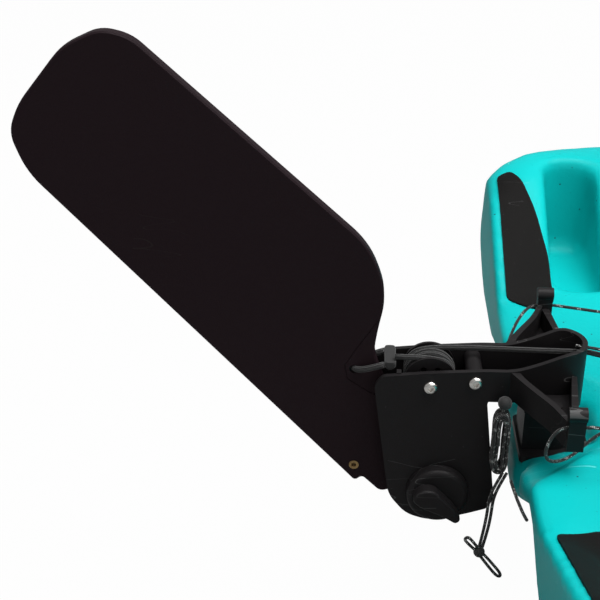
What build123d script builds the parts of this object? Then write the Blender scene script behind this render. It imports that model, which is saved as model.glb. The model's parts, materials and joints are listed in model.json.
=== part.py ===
from build123d import *
import math
import os

# A pedal kayak: a sit-on-top rotomoulded hull with a folding seat, a pedal drive that swings up out of its
# well, and a kick-up rudder on the stern. Millimetres. +X is the bow, +Y is port, +Z is up.
# The origin is on the flat of the keel, halfway along the hull, at the level the hull rests on.
# The rudder blade is drawn raised and the pedal drive is drawn swung up, so the hull can rest on its keel.

os.makedirs("parts", exist_ok=True)

# Fits
CLEAR = 0.3
RUN_FIT = 0.05

# Hull
WALL = 5.0
REST_LEVEL = 0.0
SEAT_FLOOR_Z = 148.0
FOOTWELL_FLOOR_Z = 112.0
CONSOLE_TOP_Z = 214.0
COCKPIT_AFT_X = -560.0
COCKPIT_FRONT_X = 910.0
COCKPIT_HALF_WIDTH = 248.0
CONSOLE_HALF_WIDTH = 74.0
CONSOLE_AFT_X = -62.0
TANK_WELL_AFT_X = -1390.0
TANK_WELL_FRONT_X = -790.0
TANK_WELL_HALF_WIDTH = 278.0
TANK_WELL_FLOOR_Z = 168.0
DRIVE_WELL_AFT_X = -22.0
DRIVE_WELL_FRONT_X = 486.0
DRIVE_WELL_HALF_WIDTH = 46.0
HAND_POCKET_AFT_X = -1588.0
HAND_POCKET_FRONT_X = -1538.0
HAND_POCKET_FLOOR_Z = 232.0
TROUGH_FLOOR_Z = 226.0
SCUPPER_R = 13.0

# Grips
GRIP_AFT_X = -1636.0
GRIP_FRONT_X = -1591.0
GRIP_INNER_Y = 154.0
GRIP_OUTER_Y = 320.0
GRIP_DEPTH = 3.0
GRIP_PROUD = 1.0

# Deck fittings
FITTING_Y = 384.0
FITTING_Z = 324.0
AFT_FITTING_Z = 314.8
SCREW_R = 2.5
SCREW_HEAD_R = 4.75
SCREW_HEAD_H = 2.8
SCREW_LENGTH = 12.0
SCREW_BOSS_R = 8.0
SCREW_BOSS_DEPTH = 24.0
HANDLE_LENGTH = 160.0
HANDLE_WIDTH = 22.0
HANDLE_RISE = 36.0
HANDLE_BAR = 10.0
HANDLE_AFT_X = 45.0
RAIL_LENGTH = 280.0
RAIL_WIDTH = 24.0
RAIL_HEIGHT = 9.0
RAIL_SLOT = 8.5
RAIL_FRONT_X = -240.0
PAD_EYE_X = (-1180.0, -860.0)
PAD_EYE_LENGTH = 50.0
PAD_EYE_WIDTH = 15.0
PAD_EYE_BASE = 3.0
PAD_EYE_RING_R = 9.0
PAD_EYE_WIRE_R = 2.6
BOW_HANDLE_X = 1470.0
BOW_HANDLE_Z = 369.0
BOW_TILT = -9.3
GLAND_X = -1438.0
GLAND_TOP_Z = 286.0
GLAND_R = 12.0
DRAIN_X = -1500.0
DRAIN_R = 10.0
DRAIN_HEAD_R = 16.0

# Bow hatch
HATCH_X = 1190.0
HATCH_Z = 334.0
HATCH_TILT = -6.5
HATCH_LENGTH = 236.0
HATCH_WIDTH = 196.0
HATCH_CORNER = 60.0
HATCH_HOLE_LENGTH = 196.0
HATCH_HOLE_WIDTH = 156.0
HATCH_DEPTH = 150.0
RING_THICK = 5.0
LID_THICK = 5.0
SEAL_WIRE = 5.0

# Steering axis and rudder head
STEER_X = -1617.0
SWING_R = 48.0
STEER_PIN_R = 5.0
BUSH_R = 8.0
HEAD_HALF_WIDTH = 22.0
CHEEK = 4.0
HEAD_FLOOR_Z = 268.0
HEAD_FLOOR = 5.0
HEAD_RIM_Z = 304.0
NOSE_RIM_Z = 320.0
NOSE_R = 22.0
EYELET_Y = 90.0
EYELET_X = -1615.0
EYELET_TOP_Z = 318.0
LINE_HOLE_Z = 302.0
ARM_LOW_Z = 282.0
SCREW_ONE = (-1714.0, 289.0)
SCREW_TWO = (-1680.0, 294.0)
HEAD_SCREW_R = 3.0
HEAD_SCREW_HEAD_R = 5.4
HEAD_SCREW_HEAD_H = 3.3
SHEAVE_R = 20.0
SHEAVE_GROOVE_R = 15.6
SHEAVE_WIDTH = 26.0
SHEAVE_FLANGE = 2.4
ROLLER_R = 6.5
GUDGEON_TOP_Z = 266.0
GUDGEON_HALF_WIDTH = 19.0

# Blade and its pivot
PIVOT = (-1704.0, 192.0)
PIVOT_R = 4.0
BLADE_THICK = 9.5
HUB_R = 20.0
WASHER_R = 15.0
WASHER_THICK = 1.2
KNOB_R = 24.5
KNOB_DISC = 10.0
KNOB_WING = 10.0
INSERT_AT = (-1771.0, 201.5)
INSERT_R = 4.0
CORD_HOLE = (-1773.0, 292.5)
CORD_HOLE_R = 3.6

# Lines and cords
LINE_D = 2.5
LIFT_CORD_D = 4.4
BLADE_CORD_D = 5.0
HANK_LENGTH = 54.0
HANK_HALF_WIDTH = 6.0
HANK_STEP = 3.0

# Steering control by the seat
CONTROL_X = -110.0
CONTROL_BASE_LENGTH = 64.0
CONTROL_BASE_WIDTH = 40.0
CONTROL_BASE_HEIGHT = 12.0
CONTROL_SHAFT_R = 6.0
TILLER_LENGTH = 120.0

# Pedal drive
HINGE_X = 470.0
HINGE_Z = 240.0
HINGE_PIN_R = 6.0
LEG_OFFSET = 90.0
LEG_REACH = 355.0
LEG_R = 21.0
WEB_THICK = 6.0
CRANK_REACH = 240.0
CRANK_ARM = 112.0
CRANK_AXLE_R = 8.0
HOUSING_HALF_WIDTH = 36.0
HOUSING_WALL = 3.5
GEAR_R = 44.0
GEAR_THICK = 8.0
GEAR_TEETH = 40
GEAR_Y = 16.0
CRANK_GEARING = 4
PROP_GEARING = 2
PEDAL_LENGTH = 96.0
PEDAL_WIDTH = 74.0
PEDAL_THICK = 16.0
PEDAL_AXLE_R = 5.0
SHAFT_R = 5.0
PROP_R = 108.0
PROP_HUB_R = 15.0
PROP_HUB_LENGTH = 42.0

# Seat
SEAT_FRONT_X = -85.0
SEAT_AFT_X = -475.0
SEAT_HALF_WIDTH = 205.0
SEAT_TUBE_R = 11.0
SEAT_Z = 205.0
BACK_HEIGHT = 400.0
BACK_HALF_WIDTH = 188.0
BACK_TUBE_R = 10.0
BACK_LEAN = 12.0
MESH_THICK = 4.0


def save(name, shape):
    """Writes one node: a single solid, or a group of separate solids."""
    solids = shape.solids()
    whole = solids[0] if len(solids) == 1 else Compound(children=list(solids))
    export_step(whole, f"parts/{name}.step")
    return shape


def block(x, y, z):
    """A box from its low and high limits along each axis."""
    size = [b - a for a, b in (x, y, z)]
    centre = [(a + b) / 2 for a, b in (x, y, z)]
    return Pos(*centre) * Box(*size)


def rod(x, y, z, radius, length, axis="Y"):
    """A round bar centred on a point, along one axis."""
    turn = {"X": Rot(0, 90, 0), "Y": Rot(90, 0, 0), "Z": Rot(0, 0, 0)}[axis]
    return Pos(x, y, z) * turn * Cylinder(radius, length)


def rounded(points, cuts, close=False, soft=False):
    """Straight runs whose corners are cut back and joined by tangent arcs, or by soft curves. Edges in order."""
    pts = [Vector(*p) for p in points]
    count = len(pts)
    corners = range(count) if close else range(1, count - 1)
    spans = {}
    for i in corners:
        v, a, b = pts[i], pts[i - 1], pts[(i + 1) % count]
        ua, ub = (a - v).normalized(), (b - v).normalized()
        cut = cuts[i] if isinstance(cuts, (list, tuple)) else cuts
        middle = v
        if not soft:
            half = math.radians(ua.get_angle(ub)) / 2
            rise = cut * (1 - math.sin(half)) / math.cos(half)
            middle = v + (ua + ub).normalized() * rise
        spans[i] = (v + ua * cut, middle, v + ub * cut)
    edges = []
    for i in range(count if close else count - 1):
        j = (i + 1) % count
        start = spans[i][2] if i in spans else pts[i]
        end = spans[j][0] if j in spans else pts[j]
        if (end - start).length > 1e-4:
            edges.append(Edge.make_line(start, end))
        if j in spans:
            edges.append(Edge.make_bezier(*spans[j]) if soft else Edge.make_three_point_arc(*spans[j]))
    return edges


def plate_xz(points, y, cuts=None):
    """A flat plate between two Y values, from its side outline in X and Z."""
    flat = [(x, 0, z) for x, z in points]
    edges = rounded(flat, cuts, True) if cuts is not None else Polyline(*flat, close=True).edges()
    face = Face(Wire(edges))
    return extrude(Pos(0, y[0], 0) * face, y[1] - y[0], dir=(0, 1, 0))


def plate_xy(points, z, cuts=None):
    """A flat plate between two Z values, from its outline in plan."""
    flat = [(x, y, 0) for x, y in points]
    edges = rounded(flat, cuts, True) if cuts is not None else Polyline(*flat, close=True).edges()
    face = Face(Wire(edges))
    return extrude(Pos(0, 0, z[0]) * face, z[1] - z[0], dir=(0, 0, 1))


def pocket(x, y, z, corner):
    """A rounded rectangular cutter that opens upwards."""
    tool = extrude(RectangleRounded(x[1] - x[0], y[1] - y[0], corner), z[1] - z[0])
    return Pos((x[0] + x[1]) / 2, (y[0] + y[1]) / 2, z[0]) * tool


def two_sides(shape):
    """The shape and its mirror image across the centreline, as a list."""
    return [shape, mirror(shape, Plane.XZ)]


def cord(name, points, diameter):
    """A round cord along straight runs joined by tangent arcs, each as large as its runs allow."""
    runs = [math.dist(a, b) for a, b in zip(points, points[1:])]
    cuts = [0] + [0.45 * min(a, b) for a, b in zip(runs, runs[1:])] + [0]
    radii = []
    for i in range(1, len(points) - 1):
        a, v, b = (Vector(*points[k]) for k in (i - 1, i, i + 1))
        turn = math.radians(180 - (a - v).get_angle(b - v))
        radii.append(cuts[i] / math.tan(turn / 2))
    path = Wire(rounded(points, cuts))
    start = Plane(path @ 0, z_dir=path % 0)
    solid = sweep(start * Circle(diameter / 2), path=path)
    ideal = math.pi * diameter**2 / 4 * path.length
    print(f"{name}: length {path.length:.1f}, runs {min(runs):.1f} to {max(runs):.1f}, least radius"
          f" {min(radii, default=0):.1f}, volume ratio {solid.volume / ideal:.4f}")
    print("  radii", [round(r, 1) for r in radii])
    return solid


# Stations along the hull: x, half beam, keel, tunnel, sponson, chine, gunwale and deck heights,
# and half the width of the flat of the deck
STATIONS = [
    (-1645, 352, 188, 246, 214, 243, 318, 262, 150),
    (-1622, 376, 174, 236, 196, 228, 330, 262, 168),
    (-1560, 404, 140, 206, 152, 200, 335, 262, 224),
    (-1440, 430, 96, 150, 100, 158, 334, 263, 232),
    (-1150, 442, 42, 80, 44, 108, 323, 268, 205),
    (-700, 445, 4, 34, 6, 82, 325, 274, 195),
    (0, 445, -6, 24, -6, 76, 330, 282, 192),
    (650, 420, -6, 24, -6, 80, 342, 294, 182),
    (1050, 345, 6, 34, 12, 98, 358, 318, 150),
    (1350, 232, 52, 76, 66, 152, 378, 352, 100),
    (1570, 110, 134, 150, 158, 236, 398, 388, 48),
    (1680, 34, 226, 236, 248, 302, 408, 404, 15),
]


def hull_section(station, inset):
    """The closed outline of the hull at one station, drawn in by the inset."""
    x, beam, keel, tunnel, sponson, chine, gunwale, deck, flat = station
    b = beam - inset
    half = [
        (0.05 * b, keel + inset, 0.020),
        (0.30 * b, tunnel + inset, 0.060),
        (0.50 * b, sponson + inset, 0.060),
        (0.80 * b, sponson + inset, 0.060),
        (b, chine + inset / 2, 0.080),
        (0.94 * b, gunwale - inset, 0.035),
        (0.80 * b, gunwale - 4 - inset, 0.045),
        (flat * b / beam, deck - inset, 0.060),
    ]
    right = [(x, y, z) for y, z, _ in half]
    left = [(x, -y, z) for y, z, _ in reversed(half)]
    cuts = [share * b for _, _, share in half]
    return Wire(rounded(right + left, cuts + cuts[::-1], True, True))


def hull_body(inset):
    """The hull's outer form, or the same form drawn in from its skin."""
    stations = list(STATIONS)
    if inset > 0:
        first, last = stations[0], stations[-1]
        stations[0] = (first[0] + inset, *first[1:])
        stations[-1] = (last[0] - 4 * inset, *last[1:])
    solid = Solid.make_loft([hull_section(s, inset) for s in stations])
    keep = block((-3000, 3000), (-1000, 1000), (REST_LEVEL + inset, 1000))
    return solid & keep


def hatch_frame():
    """The place of the bow hatch, level with the deck there."""
    return Pos(HATCH_X, 0, HATCH_Z) * Rot(0, HATCH_TILT, 0)


def bow_frame():
    """The place of the bow handle, level with the deck there."""
    return Pos(BOW_HANDLE_X, 0, BOW_HANDLE_Z) * Rot(0, BOW_TILT, 0)


def trough(grow):
    """The scoop in the stern deck under the rudder head: x, half widths and heights of its floor and edge."""
    low = TROUGH_FLOOR_Z
    rows = [(-1665, 26, low, 99, 250), (-1609, 20, low + 12, 70, 253),
            (-1589, 17, low + 18, 50, 255), (-1548 + grow, 10, low + 31, 24, 259)]
    wires = []
    for x, floor_y, floor_z, edge_y, edge_z in rows:
        loop = [(floor_y, floor_z - grow), (edge_y + grow / 2, edge_z - grow), (edge_y + 5 + grow, 330)]
        right = [(x, y, z) for y, z in loop]
        wires.append(Polyline(*right, *[(x, -y, z) for y, z in reversed(loop)], close=True).wire())
    return Solid.make_loft(wires)


def recesses(grow):
    """Every recess in the hull, each enlarged by the wall when it shapes the inner side of the skin."""
    top = 700.0
    tools = [
        trough(grow),
        pocket((TANK_WELL_AFT_X - grow, TANK_WELL_FRONT_X + grow),
               (-TANK_WELL_HALF_WIDTH - grow, TANK_WELL_HALF_WIDTH + grow),
               (TANK_WELL_FLOOR_Z - grow, top), 60 + grow),
        pocket((COCKPIT_AFT_X - grow, COCKPIT_FRONT_X + grow),
               (-COCKPIT_HALF_WIDTH - grow, COCKPIT_HALF_WIDTH + grow),
               (CONSOLE_TOP_Z - grow, top), 70 + grow),
        pocket((COCKPIT_AFT_X + 6 - grow, CONSOLE_AFT_X + grow),
               (-COCKPIT_HALF_WIDTH + 6 - grow, COCKPIT_HALF_WIDTH - 6 + grow),
               (SEAT_FLOOR_Z - grow, CONSOLE_TOP_Z + 10), 64 + grow),
        pocket((DRIVE_WELL_AFT_X - grow, DRIVE_WELL_FRONT_X + grow),
               (-DRIVE_WELL_HALF_WIDTH - grow, DRIVE_WELL_HALF_WIDTH + grow),
               (-50, CONSOLE_TOP_Z + 10), 12 + grow),
        hatch_frame() * Pos(0, 0, -HATCH_DEPTH - grow) * extrude(
            RectangleRounded(HATCH_HOLE_LENGTH + 2 * grow, HATCH_HOLE_WIDTH + 2 * grow,
                             HATCH_CORNER - 20 + grow),
            HATCH_DEPTH + 100),
    ]
    footwell_y = (CONSOLE_HALF_WIDTH - grow, COCKPIT_HALF_WIDTH - 6 + grow)
    tools += two_sides(pocket((CONSOLE_AFT_X + 70 - grow, COCKPIT_FRONT_X - 14 + grow), footwell_y,
                              (FOOTWELL_FLOOR_Z - grow, CONSOLE_TOP_Z + 10), 40 + grow))
    tools += two_sides(pocket((HAND_POCKET_AFT_X - grow, HAND_POCKET_FRONT_X + grow),
                              (196 - grow, 342 + grow), (HAND_POCKET_FLOOR_Z - grow, top), 18 + grow))
    for x, y, z in SCUPPERS:
        tools.append(rod(x, y, (z - 60) / 2, SCUPPER_R + grow, z + 80, "Z"))
    swing = rod(STEER_X, 0, 206, SWING_R + 8 + grow, 112, "Z") - rod(STEER_X, 0, 206, SWING_R - 6 - grow,
                                                                     200, "Z")
    tools.append(swing & block((STEER_X - 90, STEER_X - 17 + grow), (-90, 90), (0, 400)))
    return tools


GLAND_Y = (EYELET_Y, 4, -EYELET_Y / 2 - 15, -EYELET_Y - 3)
SCUPPERS = [(-1090, 178, TANK_WELL_FLOOR_Z), (-1090, -178, TANK_WELL_FLOOR_Z),
            (820, 168, FOOTWELL_FLOOR_Z), (820, -168, FOOTWELL_FLOOR_Z)]


def grip_zone(grow):
    """The strip of the stern's upper edge that a grip covers, on both sides."""
    aft, front, inner, outer = GRIP_AFT_X - grow, GRIP_FRONT_X + grow, GRIP_INNER_Y - grow, GRIP_OUTER_Y + grow
    points = [(aft, inner + 10), (front - 12, inner), (front, inner + 18), (front, inner + 70),
              (front - 10, inner + 116), (front - 22, outer - 16), (front - 32, outer), (aft, outer - 4)]
    return two_sides(plate_xy(points, (249 - grow, 420), (5, 5, 7, 10, 10, 7, 4, 4)))


# Deck screws: x, y, seat height under the head, and the frame that they stand in
def upright(x, y, z):
    return Pos(x, y, z)


HANDLE_SCREW_X = (HANDLE_AFT_X + 11, HANDLE_AFT_X + HANDLE_LENGTH - 11)
RAIL_SCREW_X = (RAIL_FRONT_X - RAIL_LENGTH + 30, RAIL_FRONT_X - 30)
FOOT = 7.0
screw_seats = []
for side in (1, -1):
    screw_seats += [upright(x, side * FITTING_Y, FITTING_Z + FOOT) for x in HANDLE_SCREW_X]
    screw_seats += [upright(x, side * FITTING_Y, FITTING_Z + 3) for x in RAIL_SCREW_X]
    for x in PAD_EYE_X:
        for d in (-18, 18):
            screw_seats.append(upright(x + d, side * (FITTING_Y - 4), AFT_FITTING_Z + PAD_EYE_BASE))
screw_seats += [upright(CONTROL_X + d, FITTING_Y, FITTING_Z + 4) for d in (-25, 25)]
screw_seats += [bow_frame() * Pos(d, 0, FOOT) for d in (11 - HANDLE_LENGTH / 2, HANDLE_LENGTH / 2 - 11)]
screw_seats += [upright(STEER_X + 25, s * 12, TROUGH_FLOOR_Z + 6) for s in (1, -1)]

def flats(grow):
    """The level seats cut into the deck for the fittings, each enlarged by the wall for the inner side."""
    top = 360.0
    tools = [
        block((HANDLE_AFT_X - 1 - grow, HANDLE_AFT_X + HANDLE_LENGTH + 1 + grow),
              (FITTING_Y - HANDLE_WIDTH / 2 - 1 - grow, FITTING_Y + HANDLE_WIDTH / 2 + 1 + grow),
              (FITTING_Z - grow, top)),
        block((RAIL_FRONT_X - RAIL_LENGTH - 1 - grow, RAIL_FRONT_X + 1 + grow),
              (FITTING_Y - RAIL_WIDTH / 2 - 1 - grow, FITTING_Y + RAIL_WIDTH / 2 + 1 + grow),
              (FITTING_Z - grow, top)),
    ]
    for x in PAD_EYE_X:
        tools.append(block((x - PAD_EYE_LENGTH / 2 - 1 - grow, x + PAD_EYE_LENGTH / 2 + 1 + grow),
                           (FITTING_Y - 4 - PAD_EYE_WIDTH / 2 - 1 - grow,
                            FITTING_Y - 4 + PAD_EYE_WIDTH / 2 + 1 + grow),
                           (AFT_FITTING_Z - grow, top)))
    both = []
    for tool in tools:
        both += two_sides(tool)
    both.append(block((CONTROL_X - CONTROL_BASE_LENGTH / 2 - 1 - grow,
                       CONTROL_X + CONTROL_BASE_LENGTH / 2 + 1 + grow),
                      (FITTING_Y - CONTROL_BASE_WIDTH / 2 - 1 - grow,
                       FITTING_Y + CONTROL_BASE_WIDTH / 2 + 1 + grow), (FITTING_Z - grow, top)))
    both.append(block((-1700, STEER_X + 33 + grow), (-31 - grow, 31 + grow), (TROUGH_FLOOR_Z - grow, 330)))
    return both


# Hull
outer = hull_body(0)
print("outer form", outer.is_valid, round(outer.volume / 1e6))
void = hull_body(WALL) - recesses(WALL)
void = void - [zone - hull_body(WALL + GRIP_DEPTH) for zone in grip_zone(WALL)]
void = void - flats(WALL)
void = void - [seat * Pos(0, 0, -SCREW_BOSS_DEPTH / 2) * Cylinder(SCREW_BOSS_R, SCREW_BOSS_DEPTH)
               for seat in screw_seats]
print("void", void.is_valid, len(void.solids()), round(void.volume / 1e6))
cuts = recesses(0)
cuts += flats(0)
cuts.append(hatch_frame() * extrude(RectangleRounded(HATCH_LENGTH + 2, HATCH_WIDTH + 2, HATCH_CORNER + 1),
                                    60))
cuts.append(bow_frame() * block((-HANDLE_LENGTH / 2 - 1, HANDLE_LENGTH / 2 + 1),
                               (-HANDLE_WIDTH / 2 - 1, HANDLE_WIDTH / 2 + 1), (0, 40)))
for y in GLAND_Y:
    cuts.append(rod(GLAND_X, y, 282, GLAND_R + 1, 40, "Z"))
cuts.append(hatch_frame() * block((-HATCH_LENGTH / 2 - 23, -HATCH_LENGTH / 2 + 20), (-59, 59), (0, 60)))
cuts.append(rod(DRAIN_X, 0, 262, DRAIN_R, 60, "Z"))
cuts.append(rod(DRAIN_X, 0, 280, DRAIN_HEAD_R + 1, 40, "Z"))
for seat in screw_seats:
    cuts.append(seat * Pos(0, 0, -10) * Cylinder(SCREW_R + 0.1, 20))
hull = outer - void - cuts
grip_cut = [zone - hull_body(GRIP_DEPTH) for zone in grip_zone(0)]
hull = hull - grip_cut
print("hull", hull.is_valid, len(hull.solids()), round(hull.volume / 1e6, 2), "litres")
save("hull", hull)
skin = hull_body(-GRIP_PROUD)
for side, zone in zip(("port", "starboard"), grip_zone(-0.4)):
    grip = (zone & skin) - hull_body(GRIP_DEPTH)
    grip = grip - recesses(0)[6:] - trough(0)
    print("grip", side, grip.is_valid, len(grip.solids()), round(grip.volume))
    save(f"stern_grip_{side}", grip)


# Deck fittings
def handle(length):
    """A carrying handle: two feet and a raised bar, along X, with its base at zero."""
    h = length / 2
    outline = [(-h, 0), (-h, FOOT), (-h + 22, FOOT), (-h + 40, HANDLE_RISE), (h - 40, HANDLE_RISE),
               (h - 22, FOOT),
               (h, FOOT), (h, 0), (h - 26, 0), (h - 45, HANDLE_RISE - HANDLE_BAR),
               (-h + 45, HANDLE_RISE - HANDLE_BAR), (-h + 26, 0)]
    soft = [1, 3, 3, 7, 7, 3, 3, 1, 1, 4, 4, 1]
    bar = plate_xz(outline, (-HANDLE_WIDTH / 2, HANDLE_WIDTH / 2), soft)
    for x in (11 - h, h - 11):
        bar -= rod(x, 0, 0, SCREW_R + 0.15, 60, "Z")
    return bar


side_handles = []
for s in (1, -1):
    side_handles.append(Pos(HANDLE_AFT_X + HANDLE_LENGTH / 2, s * FITTING_Y,
                            FITTING_Z) * handle(HANDLE_LENGTH))
save("carry_handles", Compound(children=side_handles + [bow_frame() * handle(HANDLE_LENGTH)]))

screws = []
for seat in screw_seats:
    head = Pos(0, 0, SCREW_HEAD_H / 2) * Cylinder(SCREW_HEAD_R, SCREW_HEAD_H)
    head = fillet(head.faces().sort_by(Axis.Z)[-1].edges(), 1.6)
    head -= block((-3, 3), (-0.6, 0.6), (SCREW_HEAD_H - 1.4, 5)) + block((-0.6, 0.6), (-3, 3),
                                                                         (SCREW_HEAD_H - 1.4, 5))
    screws.append(seat * (head + Pos(0, 0, -SCREW_LENGTH / 2) * Cylinder(SCREW_R, SCREW_LENGTH)))
save("deck_screws", Compound(children=screws))

rail_mid = RAIL_FRONT_X - RAIL_LENGTH / 2
rail = block((-RAIL_LENGTH / 2, RAIL_LENGTH / 2), (-RAIL_WIDTH / 2, RAIL_WIDTH / 2), (0, RAIL_HEIGHT))
rail -= block((-RAIL_LENGTH, RAIL_LENGTH), (-RAIL_WIDTH / 2 + 4.5, RAIL_WIDTH / 2 - 4.5),
              (3, RAIL_HEIGHT - 2))
rail -= block((-RAIL_LENGTH, RAIL_LENGTH), (-RAIL_SLOT / 2, RAIL_SLOT / 2), (3, 60))
for x in RAIL_SCREW_X:
    rail -= rod(x - rail_mid, 0, 0, SCREW_R + 0.15, 60, "Z")
save("deck_rails", Compound(children=[Pos(rail_mid, s * FITTING_Y, FITTING_Z) * rail for s in (1, -1)]))

eye = block((-PAD_EYE_LENGTH / 2, PAD_EYE_LENGTH / 2), (-PAD_EYE_WIDTH / 2, PAD_EYE_WIDTH / 2),
            (0, PAD_EYE_BASE))
eye = fillet(eye.edges().filter_by(Axis.Z), 5)
ring = Pos(0, 0, PAD_EYE_BASE - 0.5) * Rot(90, 0, 0) * Torus(PAD_EYE_RING_R, PAD_EYE_WIRE_R)
eye += ring & block((-30, 30), (-10, 10), (0, 40))
for x in (-18, 18):
    eye -= rod(x, 0, 0, SCREW_R + 0.15, 60, "Z")
eyes = [Pos(x, s * (FITTING_Y - 4), AFT_FITTING_Z) * eye for x in PAD_EYE_X for s in (1, -1)]
save("pad_eyes", Compound(children=eyes))

plugs = []
for x, y, z in SCUPPERS:
    plug = rod(x, y, z - 13, SCUPPER_R - RUN_FIT, 26, "Z") + rod(x, y, z + 1.5, SCUPPER_R + 6, 3, "Z")
    tab = Pos(x, y, z + 3) * Rot(90, 0, 0) * Torus(7, 1.8)
    plugs.append(plug + (tab & block((x - 20, x + 20), (y - 20, y + 20), (z, z + 30))))
save("scupper_plugs", Compound(children=plugs))

drain = rod(DRAIN_X, 0, 250, DRAIN_R - RUN_FIT, 20, "Z") + rod(DRAIN_X, 0, 263, DRAIN_HEAD_R, 6, "Z")
drain += block((DRAIN_X - 11, DRAIN_X + 11), (-2.5, 2.5), (266, 272))
save("drain_plug", drain)


# Bow hatch, built level and then set in its frame
def oval(length, width, corner, z):
    """A rounded rectangle between two Z values."""
    return Pos(0, 0, z[0]) * extrude(RectangleRounded(length, width, corner), z[1] - z[0])


def oval_ring(length, width, corner, band, z):
    """A band that follows a rounded rectangle."""
    return oval(length, width, corner, z) - oval(length - 2 * band, width - 2 * band, corner - band,
                                                 (z[0] - 1, z[1] + 1))


SEAL_TOP = RING_THICK + 2.0
LID_LOW = SEAL_TOP + CLEAR
HATCH_HINGE_X = HATCH_LENGTH / 2 + 6
HATCH_HINGE_Z = LID_LOW + 2.5
LATCH_X = -HATCH_LENGTH / 2 - 11
LATCH_Y = 45.0
HATCH_PIN_R = 2.5
seat_ring = oval_ring(HATCH_LENGTH, HATCH_WIDTH, HATCH_CORNER, 24, (0, RING_THICK))
seat_ring += oval_ring(HATCH_HOLE_LENGTH - 2 * CLEAR, HATCH_HOLE_WIDTH - 2 * CLEAR, HATCH_CORNER - 20, 4,
                       (-12, 1))
seat_ring -= oval_ring(HATCH_LENGTH - 20, HATCH_WIDTH - 20, HATCH_CORNER - 10, SEAL_WIRE + 0.6,
                       (RING_THICK - 2.3, 20))
lid = oval(HATCH_LENGTH - 2, HATCH_WIDTH - 2, HATCH_CORNER - 1, (LID_LOW, LID_LOW + LID_THICK))
lid += oval(HATCH_LENGTH - 44, HATCH_WIDTH - 44, HATCH_CORNER - 22,
            (LID_LOW + LID_THICK - 1, LID_LOW + LID_THICK + 4))
lid = fillet(lid.faces().sort_by(Axis.Z)[-1].edges(), 3)
for y in (-46, 46):
    knuckle = rod(HATCH_HINGE_X, y, HATCH_HINGE_Z, 5, 24)
    lid += knuckle + block((HATCH_HINGE_X - 12, HATCH_HINGE_X), (y - 12, y + 12),
                           (LID_LOW, LID_LOW + LID_THICK))
    for e in (y - 17, y + 17):
        ear = rod(HATCH_HINGE_X, e, HATCH_HINGE_Z, 5, 9)
        ear += block((HATCH_HINGE_X - 8, HATCH_HINGE_X + 3), (e - 4.5, e + 4.5),
                     (RING_THICK - 2, HATCH_HINGE_Z))
        ear += block((HATCH_HINGE_X - 14, HATCH_HINGE_X + 3), (e - 4.5, e + 4.5),
                     (RING_THICK - 5, RING_THICK))
        seat_ring += ear
        lid -= block((HATCH_HINGE_X - 10, HATCH_HINGE_X + 8), (e - 5, e + 5), (0, 30))
bore = rod(HATCH_HINGE_X, 0, HATCH_HINGE_Z, HATCH_PIN_R + RUN_FIT, 200)
for y in (LATCH_Y, -LATCH_Y):
    seat_ring += oval(22, 26, 4, (0, RING_THICK)).moved(Pos(LATCH_X, y, 0))
    seat_ring += rod(LATCH_X, y, RING_THICK + 7, 3, 14, "Z")
seat_ring -= bore
lid -= bore
seal = oval_ring(HATCH_LENGTH - 20.6, HATCH_WIDTH - 20.6, HATCH_CORNER - 10.3, SEAL_WIRE,
                 (RING_THICK - 2.0, SEAL_TOP))
pins = [rod(HATCH_HINGE_X, y, HATCH_HINGE_Z, HATCH_PIN_R, 44) for y in (-46, 46)]
save("hatch_ring", hatch_frame() * seat_ring)
save("hatch_seal", hatch_frame() * seal)
save("hatch_lid", hatch_frame() * lid)
save("hatch_hinge_pins", Compound(children=[hatch_frame() * p for p in pins]))
LATCH_LOW = LID_LOW + LID_THICK + CLEAR
for side, s in (("port", 1), ("starboard", -1)):
    low, high = RING_THICK + CLEAR, LATCH_LOW + 4
    barrel = Pos(0, 0, (low + high) / 2) * Cylinder(7, high - low)
    arm = oval(30, 12, 5, (LATCH_LOW, LATCH_LOW + 4)).moved(Pos(9, 0, 0))
    latch = (barrel + arm) - Pos(0, 0, 10) * Cylinder(3 + RUN_FIT, 40)
    save(f"hatch_latch_{side}", hatch_frame() * Pos(LATCH_X, s * LATCH_Y, 0) * Rot(0, 0, 90 * s) * latch)

# Rudder hanger on the stern
gudgeon = block((-1642, STEER_X + 32), (-30, 30), (TROUGH_FLOOR_Z, TROUGH_FLOOR_Z + 6))
gudgeon = fillet(gudgeon.edges().filter_by(Axis.Z), 5)
post = block((-1640, STEER_X), (-GUDGEON_HALF_WIDTH, GUDGEON_HALF_WIDTH), (TROUGH_FLOOR_Z + 5, GUDGEON_TOP_Z))
post += rod(STEER_X, 0, (TROUGH_FLOOR_Z + 5 + GUDGEON_TOP_Z) / 2, GUDGEON_HALF_WIDTH,
            GUDGEON_TOP_Z - TROUGH_FLOOR_Z - 5, "Z")
gudgeon += post
gudgeon -= rod(STEER_X, 0, GUDGEON_TOP_Z, STEER_PIN_R + RUN_FIT, 60, "Z")
for s in (1, -1):
    gudgeon -= rod(STEER_X + 25, s * 12, TROUGH_FLOOR_Z, SCREW_R + 0.15, 30, "Z")
save("gudgeon", gudgeon)
BOSS_TOP = HEAD_FLOOR_Z + 24.0
BUSH_FLANGE = 1.6
PIN_TOP = BOSS_TOP + BUSH_FLANGE + 0.2
pin = rod(STEER_X, 0, (GUDGEON_TOP_Z - 29 + PIN_TOP) / 2, STEER_PIN_R, PIN_TOP - GUDGEON_TOP_Z + 29, "Z")
pin += rod(STEER_X, 0, PIN_TOP + 1.5, 8, 3, "Z")
save("steering_pin", pin)
bush = rod(STEER_X, 0, HEAD_FLOOR_Z + 5, BUSH_R, 10, "Z") + rod(STEER_X, 0, HEAD_FLOOR_Z - BUSH_FLANGE / 2,
                                                                11,
                                                               BUSH_FLANGE, "Z")
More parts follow.
